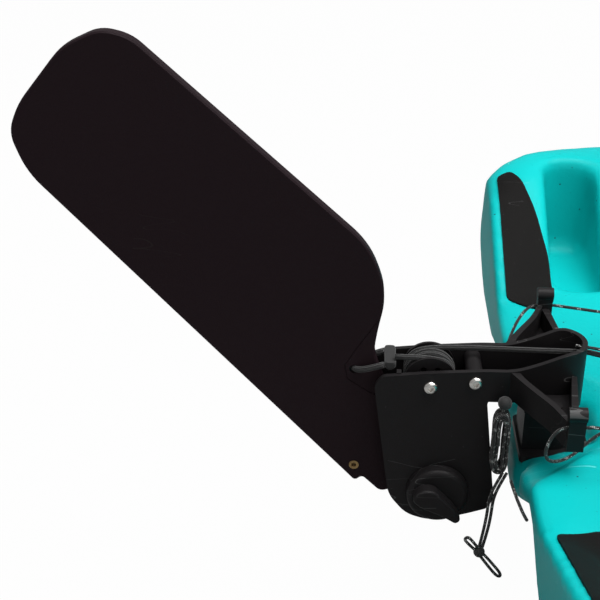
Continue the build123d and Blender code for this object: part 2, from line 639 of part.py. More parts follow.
bush -= rod(STEER_X, 0, HEAD_FLOOR_Z, STEER_PIN_R + RUN_FIT, 60, "Z")
top_bush = mirror(bush, Plane.XY.offset((HEAD_FLOOR_Z + BOSS_TOP) / 2))
save("head_bushes", Compound(children=[bush, top_bush]))

# Rudder head: two cheeks, a front web, a round nose and two arms with line eyelets
W = HEAD_HALF_WIDTH
C = W - CHEEK
cheek_line = [(-1757, 289), (-1751, 297), (-1715, 301), (-1673, 304), (-1651, 304), (-1651, 282),
              (-1664, 281),
              (-1670, 277), (-1660, 198), (-1658, 186), (-1662, 175), (-1684, 167), (-1709, 161),
              (-1728, 167),
              (-1743, 186)]
cheek_cuts = [4, 3, 6, 6, 0.5, 0.5, 3, 3, 5, 4, 4, 10, 8, 8, 9]
cheek = plate_xz(cheek_line, (C, W), cheek_cuts)
web = plate_xz([(-1670, 277), (-1660, 198), (-1658, 186), (-1659, 179), (-1663, 179), (-1662.5, 186),
                (-1664.5, 198),
                (-1674.5, 277), (-1674, 281), (-1664, 281)], (-C - 1, C + 1))
head = cheek + mirror(cheek, Plane.XZ) + web
head += block((-1674, -1640), (-W, W), (277, 281))
shell = block((-1656, STEER_X), (-W, W), (HEAD_FLOOR_Z, NOSE_RIM_Z))
shell += rod(STEER_X, 0, (HEAD_FLOOR_Z + NOSE_RIM_Z) / 2, NOSE_R, NOSE_RIM_Z - HEAD_FLOOR_Z, "Z")
hollow = block((-1660, STEER_X), (-C, C), (HEAD_FLOOR_Z + HEAD_FLOOR, 340))
hollow += rod(STEER_X, 0, (HEAD_FLOOR_Z + HEAD_FLOOR + 340) / 2, NOSE_R - CHEEK,
              340 - HEAD_FLOOR_Z - HEAD_FLOOR, "Z")
shell -= hollow
shell += block((-1656, -1640), (-W, W), (277, 281))
shell -= block((-1660, -1641), (-W - 1, W + 1), (260, 277))
shell -= plate_xz([(-1700, 304), (-1651, 304), (-1634, 310), (-1612, 320), (-1580, 320), (-1580, 350),
                   (-1700, 350)],
                  (-40, 40), [1, 8, 8, 6, 1, 1, 1])
shell += rod(STEER_X, 0, (HEAD_FLOOR_Z + BOSS_TOP) / 2, 12, BOSS_TOP - HEAD_FLOOR_Z, "Z")
head += shell
head += block((-1740, -1736.5), (-C - 1, -C + 4.5), (272, 299))
arm_wall = [(-1655, W - 2), (-1649, 32), (-1640, 48), (-1629, 66), (-1621, 86), (-1617, 86), (-1624.5, 65),
            (-1635.5, 46), (-1644, 31), (-1648, W - 2)]
arm = plate_xy(arm_wall, (ARM_LOW_Z, HEAD_RIM_Z), [0.5, 6, 8, 8, 0.5, 0.5, 8, 8, 6, 0.5])
arm += plate_xy([(-1618, 88), (-1608, W - 2), (-1604, W - 2), (-1612, 88)], (ARM_LOW_Z, HEAD_RIM_Z - 3))
arm += plate_xy([(-1652, W - 2), (-1638, 46), (-1620, 86), (-1613, 86), (-1605, W - 2)],
                (ARM_LOW_Z, ARM_LOW_Z + 3))
arm += rod(-1622, 44, ARM_LOW_Z + 4, 5, 8, "Z")
eyelet = block((EYELET_X - 6, EYELET_X + 6), (EYELET_Y - 4.5, EYELET_Y + 4.5),
               (ARM_LOW_Z + 2, EYELET_TOP_Z - 4))
eyelet += rod(EYELET_X, EYELET_Y, EYELET_TOP_Z - 5.5, 5.5, 13, "X")
arm += eyelet
arm -= rod(EYELET_X, EYELET_Y, LINE_HOLE_Z, LINE_D / 2 + 0.5, 30, "X")
head += arm
head += mirror(arm, Plane.XZ)
for x, z in (SCREW_ONE, SCREW_TWO):
    head -= rod(x, 0, z, HEAD_SCREW_R + RUN_FIT, 80)
head -= rod(PIVOT[0], 0, PIVOT[1], PIVOT_R + RUN_FIT, 80)
head -= rod(STEER_X, 0, HEAD_FLOOR_Z, BUSH_R, 80, "Z")
LIFT_LINE_AT = (3.0, 314.5)
LIFT_CORD_AT = (5.0, 308.0)
for (y, z), d in ((LIFT_LINE_AT, LINE_D), (LIFT_CORD_AT, LIFT_CORD_D)):
    head -= rod(STEER_X + NOSE_R - 4, y, z, d / 2 + 0.6, 20, "X")
print("head", head.is_valid, len(head.solids()))
save("rudder_head", head)

head_screws, head_nuts = [], []
NUT = 5.0
for x, z in (SCREW_ONE, SCREW_TWO):
    screw = rod(x, (NUT - 0.5) / 2, z, HEAD_SCREW_R, 2 * W + NUT - 0.5)
    button = rod(x, -W - HEAD_SCREW_HEAD_H / 2, z, HEAD_SCREW_HEAD_R, HEAD_SCREW_HEAD_H)
    button = fillet(button.faces().sort_by(Axis.Y)[0].edges(), 2.4)
    socket = extrude(Plane((x, -W - HEAD_SCREW_HEAD_H + 2, z), z_dir=(0, -1, 0)) * RegularPolygon(2.3, 6), 8)
    head_screws.append(screw + button - socket)
    nut = extrude(Plane((x, W, z), z_dir=(0, 1, 0)) * RegularPolygon(5.77, 6), NUT)
    head_nuts.append(nut - rod(x, W, z, HEAD_SCREW_R, 40))
save("head_screws", Compound(children=head_screws))
save("head_nuts", Compound(children=head_nuts))
tube_end = C - CLEAR
spacer = rod(*[SCREW_TWO[0], 0, SCREW_TWO[1]], ROLLER_R, 2 * tube_end) - rod(SCREW_TWO[0], 0, SCREW_TWO[1],
                                                                            HEAD_SCREW_R + RUN_FIT, 60)
save("head_spacer", spacer)
x, z = SCREW_ONE
sheave = rod(x, 0, z, SHEAVE_GROOVE_R, SHEAVE_WIDTH) + rod(x, 0, z, 6, 2 * tube_end)
for s in (1, -1):
    sheave += rod(x, s * (SHEAVE_WIDTH - SHEAVE_FLANGE) / 2, z, SHEAVE_R, SHEAVE_FLANGE)
sheave -= rod(x, 0, z, HEAD_SCREW_R + RUN_FIT, 60)
for a in range(6):
    px, pz = 10.8 * math.cos(math.radians(60 * a)), 10.8 * math.sin(math.radians(60 * a))
    sheave -= rod(x + px, 0, z + pz, 2.6, 60)
save("sheave", sheave)

# Blade
blade_line = [(-1952, 558), (-1931, 553), (-1763, 398), (-1749, 359), (-1755, 330), (-1758, 307.5),
              (-1741, 262),
              (-1716, 228), (-1684, 218), (-1672, 192), (-1684, 168), (-1706, 162), (-1727, 168),
              (-1736, 179),
              (-1749, 175), (-1764, 190), (-1770, 185), (-1778, 194), (-2013, 452), (-2023, 482),
              (-2014, 503.5),
              (-1980, 545)]
blade_cuts = [9, 9, 18, 18, 9, 9, 12, 10, 10, 12, 10, 9, 6, 4, 4, 3, 3, 4, 14, 10, 10, 12]
T = BLADE_THICK / 2
blade = plate_xz(blade_line, (-T, T), blade_cuts)
rim = blade.edges().filter_by(lambda e: abs(e.center().Y) > T - 0.1)
blade = chamfer(rim, 1.2)
blade += rod(PIVOT[0], 0, PIVOT[1], HUB_R, 2 * (C - WASHER_THICK - CLEAR / 2 - 0.05))
blade -= rod(PIVOT[0], 0, PIVOT[1], PIVOT_R + RUN_FIT, 60)
blade -= rod(INSERT_AT[0], 0, INSERT_AT[1], INSERT_R, 60)
blade -= rod(CORD_HOLE[0], 0, CORD_HOLE[1], CORD_HOLE_R, 60)
contour = [(-1752.5, 340.5), (-1771, 312), (-1780, 296), (-1778, 284), (-1759, 271), (-1730, 262)]
bead = []
for (x1, z1), (x2, z2) in zip(contour, contour[1:]):
    d = math.dist((x1, z1), (x2, z2))
    ux, uz = (x2 - x1) / d, (z2 - z1) / d
    bead.append(plate_xz([(x1 - uz * 0.5 - ux * 0.5, z1 + ux * 0.5 - uz * 0.5),
                          (x2 - uz * 0.5 + ux * 0.5, z2 + ux * 0.5 + uz * 0.5),
                          (x2 + uz * 0.5 + ux * 0.5, z2 - ux * 0.5 + uz * 0.5),
                          (x1 + uz * 0.5 - ux * 0.5, z1 - ux * 0.5 - uz * 0.5)], (-T - 1, -T + 0.6)))
blade -= bead
print("blade", blade.is_valid, len(blade.solids()))
save("blade", blade)
insert = rod(INSERT_AT[0], 0, INSERT_AT[1], INSERT_R, BLADE_THICK + 1) - rod(INSERT_AT[0], 0, INSERT_AT[1],
                                                                             2, 60)
save("blade_insert", insert)
washers = []
for s in (1, -1):
    w = rod(PIVOT[0], s * (C - CLEAR / 4 - WASHER_THICK / 2), PIVOT[1], WASHER_R, WASHER_THICK)
    washers.append(w - rod(PIVOT[0], 0, PIVOT[1], PIVOT_R + RUN_FIT, 60))
save("pivot_washers", Compound(children=washers))
KNOB_IN = -W - CLEAR
KNOB_OUT = KNOB_IN - KNOB_DISC
bolt_end = KNOB_OUT - 2
bolt = rod(PIVOT[0], (W + bolt_end) / 2, PIVOT[1], PIVOT_R, W - bolt_end)
bolt += extrude(Plane((PIVOT[0], W, PIVOT[1]), z_dir=(0, 1, 0)) * RegularPolygon(7.5, 6), 5.3)
save("pivot_bolt", bolt)
knob = rod(PIVOT[0], (KNOB_IN + KNOB_OUT) / 2, PIVOT[1], KNOB_R, KNOB_DISC)
knob = fillet(knob.faces().sort_by(Axis.Y)[0].edges(), 4)
wing_line = [(-21, 3), (-15, 12), (-4, 13), (12, -4), (19, -15), (15, -19), (4, -12), (-14, -4)]
wing = plate_xz([(PIVOT[0] + x, PIVOT[1] + z) for x, z in wing_line], (KNOB_OUT - KNOB_WING, KNOB_OUT + 1),
                [4.5, 5, 5, 6, 2.5, 2.5, 6, 4.5])
wing = fillet(wing.faces().sort_by(Axis.Y)[0].edges(), 2)
knob = knob + wing - rod(PIVOT[0], KNOB_OUT / 2, PIVOT[1], PIVOT_R + RUN_FIT, abs(KNOB_OUT) + 6)
print("knob", knob.is_valid, len(knob.solids()))
save("tension_knob", knob)

# Lines. Each gland on the deck takes one line, and the centre one takes the lift line and its cord
GLAND_FLOOR_Z = 262.0
LINE_GLAND_Z = GLAND_TOP_Z - 5
GLAND_FACE_X = GLAND_X - 8
glands = []
for y in GLAND_Y:
    g = rod(GLAND_X, y, GLAND_FLOOR_Z + 1.5, GLAND_R, 3, "Z")
    body = block((GLAND_FACE_X, GLAND_X + 8), (y - 7, y + 7), (GLAND_FLOOR_Z + 1, GLAND_TOP_Z))
    g += fillet(body.edges().filter_by(Axis.Z) + body.faces().sort_by(Axis.Z)[-1].edges(), 3)
    if abs(y) < 10:
        g -= rod(GLAND_FACE_X, y, LINE_GLAND_Z, LINE_D / 2 + 0.1, 16, "X")
        g -= rod(GLAND_FACE_X, y, LINE_GLAND_Z - 9, LIFT_CORD_D / 2 + 0.1, 16, "X")
    else:
        g -= rod(GLAND_FACE_X, y, LINE_GLAND_Z, LINE_D / 2 + 0.1, 16, "X")
    glands.append(g)
save("line_glands", Compound(children=glands))

in_gland = GLAND_FACE_X + 7.5
E = EYELET_Y
L = LINE_HOLE_Z
port_line = [(in_gland, E, LINE_GLAND_Z), (GLAND_FACE_X - 5, E, LINE_GLAND_Z), (EYELET_X + 16, E, L - 1),
             (EYELET_X + 8, E, L), (EYELET_X - 9, E, L), (EYELET_X - 17, E - 7, L - 1.5), (-1641, 68, L - 7),
             (-1649, 50, 284), (-1651.5, 28, 271), (-1651, 4, 268), (-1653, -18, 272),
             (-1656.2, -31.6, 282.6)]
save("steering_line_port", cord("steering_line_port", port_line, LINE_D))
star_line = [(in_gland, -E - 3, LINE_GLAND_Z), (GLAND_FACE_X - 5, -E - 3, LINE_GLAND_Z),
             (EYELET_X + 16, -E, L + 0.5),
             (EYELET_X + 8, -E, L), (EYELET_X - 9, -E, L), (EYELET_X - 16, -E - 2, L - 5), (-1636, -94, 284),
             (-1632, -86, 270), (-1623, -74, 260), (-1611, -65, 258.5), (-1601, -61, 267), (-1590, -60, 278),
             (-1574, -60, 285), (GLAND_FACE_X - 6, -60, LINE_GLAND_Z), (in_gland, -60, LINE_GLAND_Z)]
save("steering_line_starboard", cord("steering_line_starboard", star_line, LINE_D))
nose = STEER_X + NOSE_R
thin = [(in_gland, 4, LINE_GLAND_Z), (GLAND_FACE_X - 5, 4, LINE_GLAND_Z),
        (nose + 6, LIFT_LINE_AT[0], LIFT_LINE_AT[1] - 1),
        (nose - 8, LIFT_LINE_AT[0], LIFT_LINE_AT[1])]
low = LINE_GLAND_Z - 9
thick = [(in_gland, 4, low), (GLAND_FACE_X - 5, 4, low), (nose + 8, LIFT_CORD_AT[0], LIFT_CORD_AT[1] - 1),
         (nose + 0.3, LIFT_CORD_AT[0], LIFT_CORD_AT[1])]
save("lift_lines", Compound(children=[cord("lift_line", thin, LINE_D),
                                      cord("lift_cord_front", thick, LIFT_CORD_D)]))

# The lift cord runs back along the channel, winds round the drum of the sheave and ends at the knot
wrap_r = SHEAVE_GROOVE_R + LIFT_CORD_D / 2 + 0.25
TURNS = 3
SIDES = 8
flat_r = wrap_r / math.cos(math.pi / SIDES)
sx, sz = SCREW_ONE
step = (SHEAVE_WIDTH - 2 * SHEAVE_FLANGE - LIFT_CORD_D - 0.8) / TURNS
wind = [(nose, LIFT_CORD_AT[0], LIFT_CORD_AT[1]), (nose - 40, LIFT_CORD_AT[0] + 0.5, LIFT_CORD_AT[1]),
        (sx + 40, TURNS * step / 2, sz + wrap_r + 0.3)]
for k in range(TURNS * SIDES):
    angle = math.pi / 2 + (k + 0.5) * 2 * math.pi / SIDES
    y = TURNS * step / 2 - step * (k + 0.5) / SIDES
    wind.append((sx + flat_r * math.cos(angle), y, sz + flat_r * math.sin(angle)))
KNOT = (-1745.0, 0.0, 302.0)
KNOT_R = 4.5
wind.append((KNOT[0] + 3.2, -TURNS * step / 2, sz + wrap_r - 0.1))
gap = 1e9
for i in range(3, len(wind) - 1):
    for j in range(i + 5, len(wind) - 1):
        gap = min(gap, math.dist(wind[i], wind[j]) - LIFT_CORD_D)
print("lift cord turns: least gap to itself", round(min(gap, step - LIFT_CORD_D), 2), "step", round(step, 2))
save("lift_cord", cord("lift_cord", wind, LIFT_CORD_D))
knot = Pos(*KNOT) * Rot(90, 0, 0) * Cylinder(KNOT_R, 27)
knot = fillet(knot.edges(), 2) - block((-1800, 0), (-20, 20), (sz + wrap_r - LIFT_CORD_D / 2 - 0.35, 400))
hx, hz = CORD_HOLE
loop_x = KNOT[0] - KNOT_R - 0.05
loop = [(loop_x, -10.5, KNOT[2] - 1), (hx, -11, hz), (hx, 11, hz), (loop_x, 10.5, KNOT[2] - 1)]
save("blade_cord", cord("blade_cord", loop, BLADE_CORD_D))

# Spare line: a hank with its loops, the knots on it, and the tail that hangs from it
HX, HY, HZ = -1659.5, -38.0, 251.5
half = HANK_LENGTH / 2
HANK_LOOPS = 4
HANK_WAIST = 1.0
hank_points = []


def hank_loops(width, length, y, step):
    """A pile of long loops that climbs steadily along its runs, each drawn in at the waist."""
    points = []
    for k in range(HANK_LOOPS):
        a = y + k * step
        slim = width - HANK_WAIST
        points += [(width, a, -length), (slim, a + step / 4, 0), (width, a + step / 2, length),
                   (-width, a + step / 2, length), (-slim, a + 3 * step / 4, 0), (-width, a + step, -length)]
    return points


reach = HANK_LOOPS * HANK_STEP
hank_points = hank_loops(HANK_HALF_WIDTH, half, -reach / 2, HANK_STEP)[1:]
hank_points += hank_loops(HANK_HALF_WIDTH - HANK_STEP, half - HANK_STEP, reach / 2, -HANK_STEP)
hank_points = [(HX + x, HY + y, HZ + z) for x, y, z in hank_points[:-1]]


def hank_tube(name, points, diameter):
    """A tube whose end turns are as round as their width allows."""
    cuts = [0]
    for i in range(1, len(points) - 1):
        a, b = math.dist(points[i - 1], points[i]), math.dist(points[i], points[i + 1])
        cuts.append(0.495 * min(a, b))
    path = Wire(rounded(points, cuts))
    solid = sweep(Plane(path @ 0, z_dir=path % 0) * Circle(diameter / 2), path=path)
    plain_volume = math.pi * diameter**2 / 4 * path.length
    print(f"{name}: length {path.length:.1f}, volume ratio {solid.volume / plain_volume:.4f}")
    samples = [path @ (i / 1500) for i in range(1501)]
    apart = round(6 * 1500 / path.length)
    pairs = ((i, j) for i in range(0, 1501, 2) for j in range(i + apart, 1501, 2))
    least = min((samples[i] - samples[j]).length for i, j in pairs)
    print("  least gap to itself", round(least - diameter, 2))
    return solid


hank = hank_tube("spare_line_hank", hank_points, LINE_D)
print("hank", hank.is_valid, len(hank.solids()))
save("spare_line_hank", hank)

# The tail of the spare line: two strands, a knot, and the two bights below it
TY = -45.0
strands = []
for shift in (-1.6, 1.6):
    run = [(-1655 + shift, TY, 227.2), (-1660 + shift, TY, 215), (-1663.5 + shift, TY, 202),
           (-1664 + shift, TY, 186),
           (-1665.5 + shift, TY, 170), (-1668 + shift * 0.8, TY, 154)]
    strands.append(cord("spare tail strand", run, LINE_D))
side_strand = [(-1650.5, -50, 224), (-1648, -62, 220), (-1646.2, -80, 222), (-1646.2, -98, 229),
               (-1646.4, -112, 236)]
strands.append(cord("spare side strand", side_strand, LINE_D))
for tip, width in (((-1681, TY, 163.5), 2.1), ((-1650, TY, 123.5), 2.1)):
    start = Vector(-1669, TY, 149)
    way = (Vector(*tip) - start)
    run = way.normalized()
    across = Vector(-run.Z, 0, run.X) * width
    base, far = start + run * 4.8, start + run * (way.length - LINE_D / 2)
    out = [base + across * 0.78, base + run * (way.length * 0.3) + across, far + across, far - across,
           base + run * (way.length * 0.3) - across, base - across * 0.78]
    strands.append(hank_tube("spare bight", [tuple(p) for p in out], LINE_D))
save("spare_line_tail", Compound(children=strands))
top_knot = Pos(-1658.5, -36, 285.5) * Sphere(5.3)
end_knot = Pos(-1669, TY, 149) * Sphere(4.6)
save("line_knots", Compound(children=[knot, top_knot, end_knot]))

# Steering control on the port gunwale by the seat
CX, CY, CZ = CONTROL_X, FITTING_Y, FITTING_Z
base = block((CX - CONTROL_BASE_LENGTH / 2, CX + CONTROL_BASE_LENGTH / 2),
             (CY - CONTROL_BASE_WIDTH / 2, CY + CONTROL_BASE_WIDTH / 2), (CZ, CZ + 4))
base = fillet(base.edges().filter_by(Axis.Z), 8)
base += rod(CX, CY, CZ + CONTROL_BASE_HEIGHT / 2, 15, CONTROL_BASE_HEIGHT, "Z")
for d in (-25, 25):
    base -= rod(CX + d, CY, CZ, SCREW_R + 0.15, 60, "Z")
base += rod(CX, CY, CZ + CONTROL_BASE_HEIGHT + 10, CONTROL_SHAFT_R, 22, "Z")
save("control_base", base)
TILLER_LOW = CZ + CONTROL_BASE_HEIGHT + CLEAR
tiller = rod(CX, CY, TILLER_LOW + 8, 15, 16, "Z")
blank = [(CX, CY - 10), (CX + TILLER_LENGTH, CY - 6), (CX + TILLER_LENGTH, CY + 6), (CX, CY + 10)]
tiller += plate_xy(blank, (TILLER_LOW + 4, TILLER_LOW + 13), [1, 5, 5, 1])
tiller += rod(CX + TILLER_LENGTH - 4, CY, TILLER_LOW + 22, 9, 30, "Z")
tiller = fillet(tiller.faces().sort_by(Axis.Z)[-1].edges(), 4)
tiller -= rod(CX, CY, TILLER_LOW, CONTROL_SHAFT_R + RUN_FIT, 80, "Z")
save("tiller_handle", tiller)
cap = rod(CX, CY, TILLER_LOW + 16 + CLEAR + 3, 10, 6, "Z")
cap -= rod(CX, CY, TILLER_LOW + 16, CONTROL_SHAFT_R, 12, "Z")
save("tiller_cap", fillet(cap.faces().sort_by(Axis.Z)[-1].edges().sort_by(SortBy.LENGTH)[-1], 2))

# Pedal drive, drawn swung up: the leg lies along X above its well
DX, DZ = HINGE_X, HINGE_Z
LZ = DZ + LEG_OFFSET
CRANK_X = DX + CRANK_REACH
PROP_X = DX - LEG_REACH
POD_HALF = 27.0
PROP_GAP = 1.5
PROP_Z = LZ + POD_HALF + PROP_GAP + PROP_HUB_LENGTH / 2
CRADLE_T = 6.0
LUG_IN, LUG_OUT = 50.0, 62.0
w = DRIVE_WELL_HALF_WIDTH
cradle = pocket((DRIVE_WELL_AFT_X - 16, DRIVE_WELL_FRONT_X + 18), (-70, 70),
                (CONSOLE_TOP_Z, CONSOLE_TOP_Z + CRADLE_T), 14)
cradle -= pocket((DRIVE_WELL_AFT_X, DRIVE_WELL_FRONT_X), (-w, w), (CONSOLE_TOP_Z - 1, CONSOLE_TOP_Z + 20), 12)
for s in (1, -1):
    y = sorted((s * LUG_IN, s * LUG_OUT))
    lug = plate_xz([(DX - 22, CONSOLE_TOP_Z + 3), (DX - 15, DZ + 15), (DX + 15, DZ + 15),
                    (DX + 22, CONSOLE_TOP_Z + 3)],
                   y, [1, 13, 13, 1])
    cradle += lug
cradle -= rod(DX, 0, DZ, HINGE_PIN_R + RUN_FIT, 200)
save("drive_cradle", cradle)
save("drive_hinge_pin", rod(DX, 0, DZ, HINGE_PIN_R, 2 * LUG_OUT + 6))

leg_aft = PROP_X + 6
leg_front = CRANK_X - 85
leg = rod((leg_aft + leg_front) / 2, 0, LZ, LEG_R, leg_front - leg_aft, "X")
leg += plate_xz([(DX - 15, DZ), (DX - 24, LZ), (DX + 24, LZ), (DX + 15, DZ)], (-14, 14), [1, 1, 1, 1])
leg += rod(DX, 0, DZ, 15, 2 * (LUG_IN - CLEAR))
pod = rod(PROP_X, 0, LZ + 1, 24, 2 * POD_HALF - 2, "Z")
pod = fillet(pod.faces().sort_by(Axis.Z)[0].edges(), 18)
leg += pod
leg -= rod((leg_aft + leg_front) / 2 + 8, 0, LZ, SHAFT_R + RUN_FIT, leg_front - leg_aft, "X")
web_x = [leg_aft + 8, PROP_X + 60, DX - 40, leg_front - 14, leg_front + 8]
for a, b in zip(web_x, web_x[1:]):
    leg -= rod((a + b) / 2, 0, LZ, LEG_R - 5, b - a - WEB_THICK, "X")
leg -= rod(PROP_X, 0, LZ + 1, 19, 36, "Z")
leg -= rod(PROP_X, 0, LZ + 30, SHAFT_R + RUN_FIT, 60, "Z")
leg -= rod(DX, 0, DZ, HINGE_PIN_R + RUN_FIT, 200)
print("leg", leg.is_valid, len(leg.solids()))
save("drive_leg", leg)

H = HOUSING_HALF_WIDTH
house_line = [(CRANK_X - 100, LZ - 28), (CRANK_X - 100, LZ + 28), (CRANK_X - 40, LZ + 58),
              (CRANK_X + 30, LZ + 58),
              (CRANK_X + 60, LZ + 20), (CRANK_X + 60, LZ - 20), (CRANK_X + 30, LZ - 58),
              (CRANK_X - 40, LZ - 58)]
inner_line = [(CRANK_X - 95, LZ - 24), (CRANK_X - 95, LZ + 24), (CRANK_X - 40, LZ + 54),
              (CRANK_X + 28, LZ + 54),
              (CRANK_X + 56, LZ + 18), (CRANK_X + 56, LZ - 18), (CRANK_X + 28, LZ - 54),
              (CRANK_X - 40, LZ - 54)]
BEARING_R = 15.0
BEARING_T = 8.0
case = plate_xz(house_line, (-H, H), [8, 8, 20, 20, 16, 16, 20, 20])
case = fillet(case.faces().filter_by(Axis.Y).edges(), 5)
case -= plate_xz(inner_line, (-H + HOUSING_WALL, H - HOUSING_WALL), [6, 6, 18, 18, 14, 14, 18, 18])
for s in (1, -1):
    case += rod(CRANK_X, s * (H - 7), LZ, BEARING_R + 4, 14)
case -= rod(CRANK_X, 0, LZ, BEARING_R, 200)
case -= rod(CRANK_X - 95, 0, LZ, LEG_R, 60, "X")
halves = (("port", block((0, 2000), (0.05, 100), (0, 1000))), ("starboard", block((0, 2000), (-100, -0.05),
                                                                                  (0, 1000))))
for side, keep in halves:
    part = case & keep
    print("housing", side, part.is_valid, len(part.solids()))
    save(f"drive_housing_{side}", part)
bearings = []
for s in (1, -1):
    b = rod(CRANK_X, s * (H - BEARING_T / 2 - 1), LZ, BEARING_R - RUN_FIT, BEARING_T)
    bearings.append(b - rod(CRANK_X, 0, LZ, CRANK_AXLE_R + RUN_FIT, 200))
save("crank_bearings", Compound(children=bearings))

ARM_IN, ARM_OUT = 78.0, 88.0
axle = rod(CRANK_X, 0, LZ, CRANK_AXLE_R, 2 * ARM_IN)
save("crank_axle", axle)
gear = rod(CRANK_X, GEAR_Y, LZ, GEAR_R - 3, GEAR_THICK)
teeth = []
for k in range(GEAR_TEETH):
    turn = 360 * k / GEAR_TEETH
    tooth = block((GEAR_R - 6, GEAR_R), (-GEAR_THICK / 2, GEAR_THICK / 2), (-1.7, 1.7))
    teeth.append(Pos(CRANK_X, GEAR_Y, LZ) * Rot(0, turn, 0) * tooth)
gear += teeth
gear += rod(CRANK_X, GEAR_Y, LZ, BEARING_R - 1, 20)
gear -= rod(CRANK_X, 0, LZ, CRANK_AXLE_R, 200)
print("gear", gear.is_valid, len(gear.solids()))
save("crank_gear", gear)
arms = []
for s in (1, -1):
    y = sorted((s * ARM_IN, s * ARM_OUT))
    end = CRANK_X - s * CRANK_ARM
    bar = plate_xz([(CRANK_X + s * 16, LZ - 16), (CRANK_X + s * 16, LZ + 16), (end - s * 13, LZ + 12),
                    (end - s * 13, LZ - 12)],
                   y, [13, 13, 11, 11])
    bar += rod(end, s * (ARM_OUT + (PEDAL_LENGTH + 14) / 2), LZ, PEDAL_AXLE_R, PEDAL_LENGTH + 14)
    arms.append(bar)
save("crank_arms", Compound(children=arms))
for side, s in (("port", 1), ("starboard", -1)):
    end = CRANK_X - s * CRANK_ARM
    mid = s * (ARM_OUT + 7 + PEDAL_LENGTH / 2)
    pedal = block((end - PEDAL_WIDTH / 2, end + PEDAL_WIDTH / 2),
                  (mid - PEDAL_LENGTH / 2, mid + PEDAL_LENGTH / 2),
                  (LZ - PEDAL_THICK / 2, LZ + PEDAL_THICK / 2))
    pedal = fillet(pedal.edges().filter_by(Axis.Z), 14)
    for dx in (-22, 22):
        pedal -= block((end + dx - 9, end + dx + 9), (mid - 34, mid + 34), (0, 1000))
    pedal -= rod(end, mid, LZ, PEDAL_AXLE_R + RUN_FIT, 300)
    print("pedal", side, pedal.is_valid, len(pedal.solids()))
    save(f"pedal_{side}", pedal)

PINION_R = GEAR_R / CRANK_GEARING
DISC_R = 14.0
MESH_GAP = 0.5
shaft_aft = PROP_X + DISC_R / PROP_GEARING + MESH_GAP
shaft_front = CRANK_X - 30
shaft = rod((shaft_aft + shaft_front) / 2, 0, LZ, SHAFT_R, shaft_front - shaft_aft, "X")
shaft += rod(shaft_front - 7, 0, LZ, PINION_R, 14, "X")
shaft += rod(shaft_aft + 2.5, 0, LZ, DISC_R, 5, "X")
save("drive_shaft", shaft)
PROP_GEAR_Z = LZ - 12
prop_shaft = rod(PROP_X, 0, (LZ - 15 + PROP_Z + 10) / 2, SHAFT_R, PROP_Z + 10 - LZ + 15, "Z")
prop_shaft += rod(PROP_X, 0, PROP_GEAR_Z, DISC_R / PROP_GEARING, 5, "Z")
save("prop_shaft", prop_shaft)
hub_low = LZ + POD_HALF + PROP_GAP
hub_high = hub_low + PROP_HUB_LENGTH
prop = rod(PROP_X, 0, (hub_low + hub_high) / 2, PROP_HUB_R, hub_high - hub_low, "Z")
prop = fillet(prop.faces().sort_by(Axis.Z)[-1].edges(), 12)
for s in (1, -1):
    sections = []
    for r, chord, pitch, thick in ((10, 22, 38, 6), (40, 33, 27, 4.6), (75, 34, 18, 3.4),
                                   (PROP_R - 3, 18, 13, 2.4)):
        c, t = chord / 2, thick / 2
        loop = [(-c, 0), (-c * 0.5, t), (c * 0.4, t), (c, 0), (c * 0.4, -t), (-c * 0.5, -t)]
        a = math.radians(pitch)
        pts = []
        for u, v in loop:
            y, z = u * math.cos(a) - v * math.sin(a), u * math.sin(a) + v * math.cos(a)
            pts.append((PROP_X + s * r, s * y, PROP_Z + z))
        sections.append(Wire(rounded(pts, 0.8, True, True)))
    prop += Solid.make_loft(sections)
prop -= rod(PROP_X, 0, LZ + 30, SHAFT_R, 2 * (PROP_Z + 10 - LZ - 30), "Z")
print("prop", prop.is_valid, len(prop.solids()))
save("propeller", prop)

# Seat
def loop_tube(points, corner, radius):
    """A bent tube that closes on itself."""
    path = Wire(rounded(points, corner, True))
    return sweep(Plane(path @ 0, z_dir=path % 0) * Circle(radius), path=path)


S = SEAT_HALF_WIDTH
ring = [(SEAT_AFT_X, -S, SEAT_Z), (SEAT_FRONT_X, -S, SEAT_Z), (SEAT_FRONT_X, S, SEAT_Z),
        (SEAT_AFT_X, S, SEAT_Z)]
seat_frame = loop_tube(ring, 60, SEAT_TUBE_R)
BACK_X = SEAT_AFT_X + 36
BACK_Z = SEAT_Z + 34
SEAT_BOLT_R = 4.0
for s in (1, -1):
    y = sorted((s * (S - 6), s * (S + 6)))
    seat_frame += plate_xz([(BACK_X - 16, SEAT_Z), (BACK_X - 12, BACK_Z + 12), (BACK_X + 12, BACK_Z + 12),
                            (BACK_X + 16, SEAT_Z)], y, [1, 11, 11, 1])
seat_frame -= rod(BACK_X, 0, BACK_Z, SEAT_BOLT_R + RUN_FIT, 600)
print("seat frame", seat_frame.is_valid, len(seat_frame.solids()))
save("seat_frame", seat_frame)
feet = []
for x in (SEAT_AFT_X + 95, SEAT_FRONT_X - 92):
    for s in (1, -1):
        foot = block((x - 22, x + 22), (s * S - 15, s * S + 15), (SEAT_FLOOR_Z, SEAT_Z + 4))
        foot = fillet(foot.edges().filter_by(Axis.Z), 6)
        foot -= rod(x, s * S, SEAT_Z, SEAT_TUBE_R, 100, "X")
        foot -= block((x - 30, x + 30), (s * S - SEAT_TUBE_R, s * S + SEAT_TUBE_R), (SEAT_Z, 400))
        y = sorted((0, s * S))
        foot -= block((x - 30, x + 30), y, (SEAT_Z - MESH_THICK - 1, 400))
        feet.append(foot)
save("seat_feet", Compound(children=feet))
inset = SEAT_TUBE_R + CLEAR
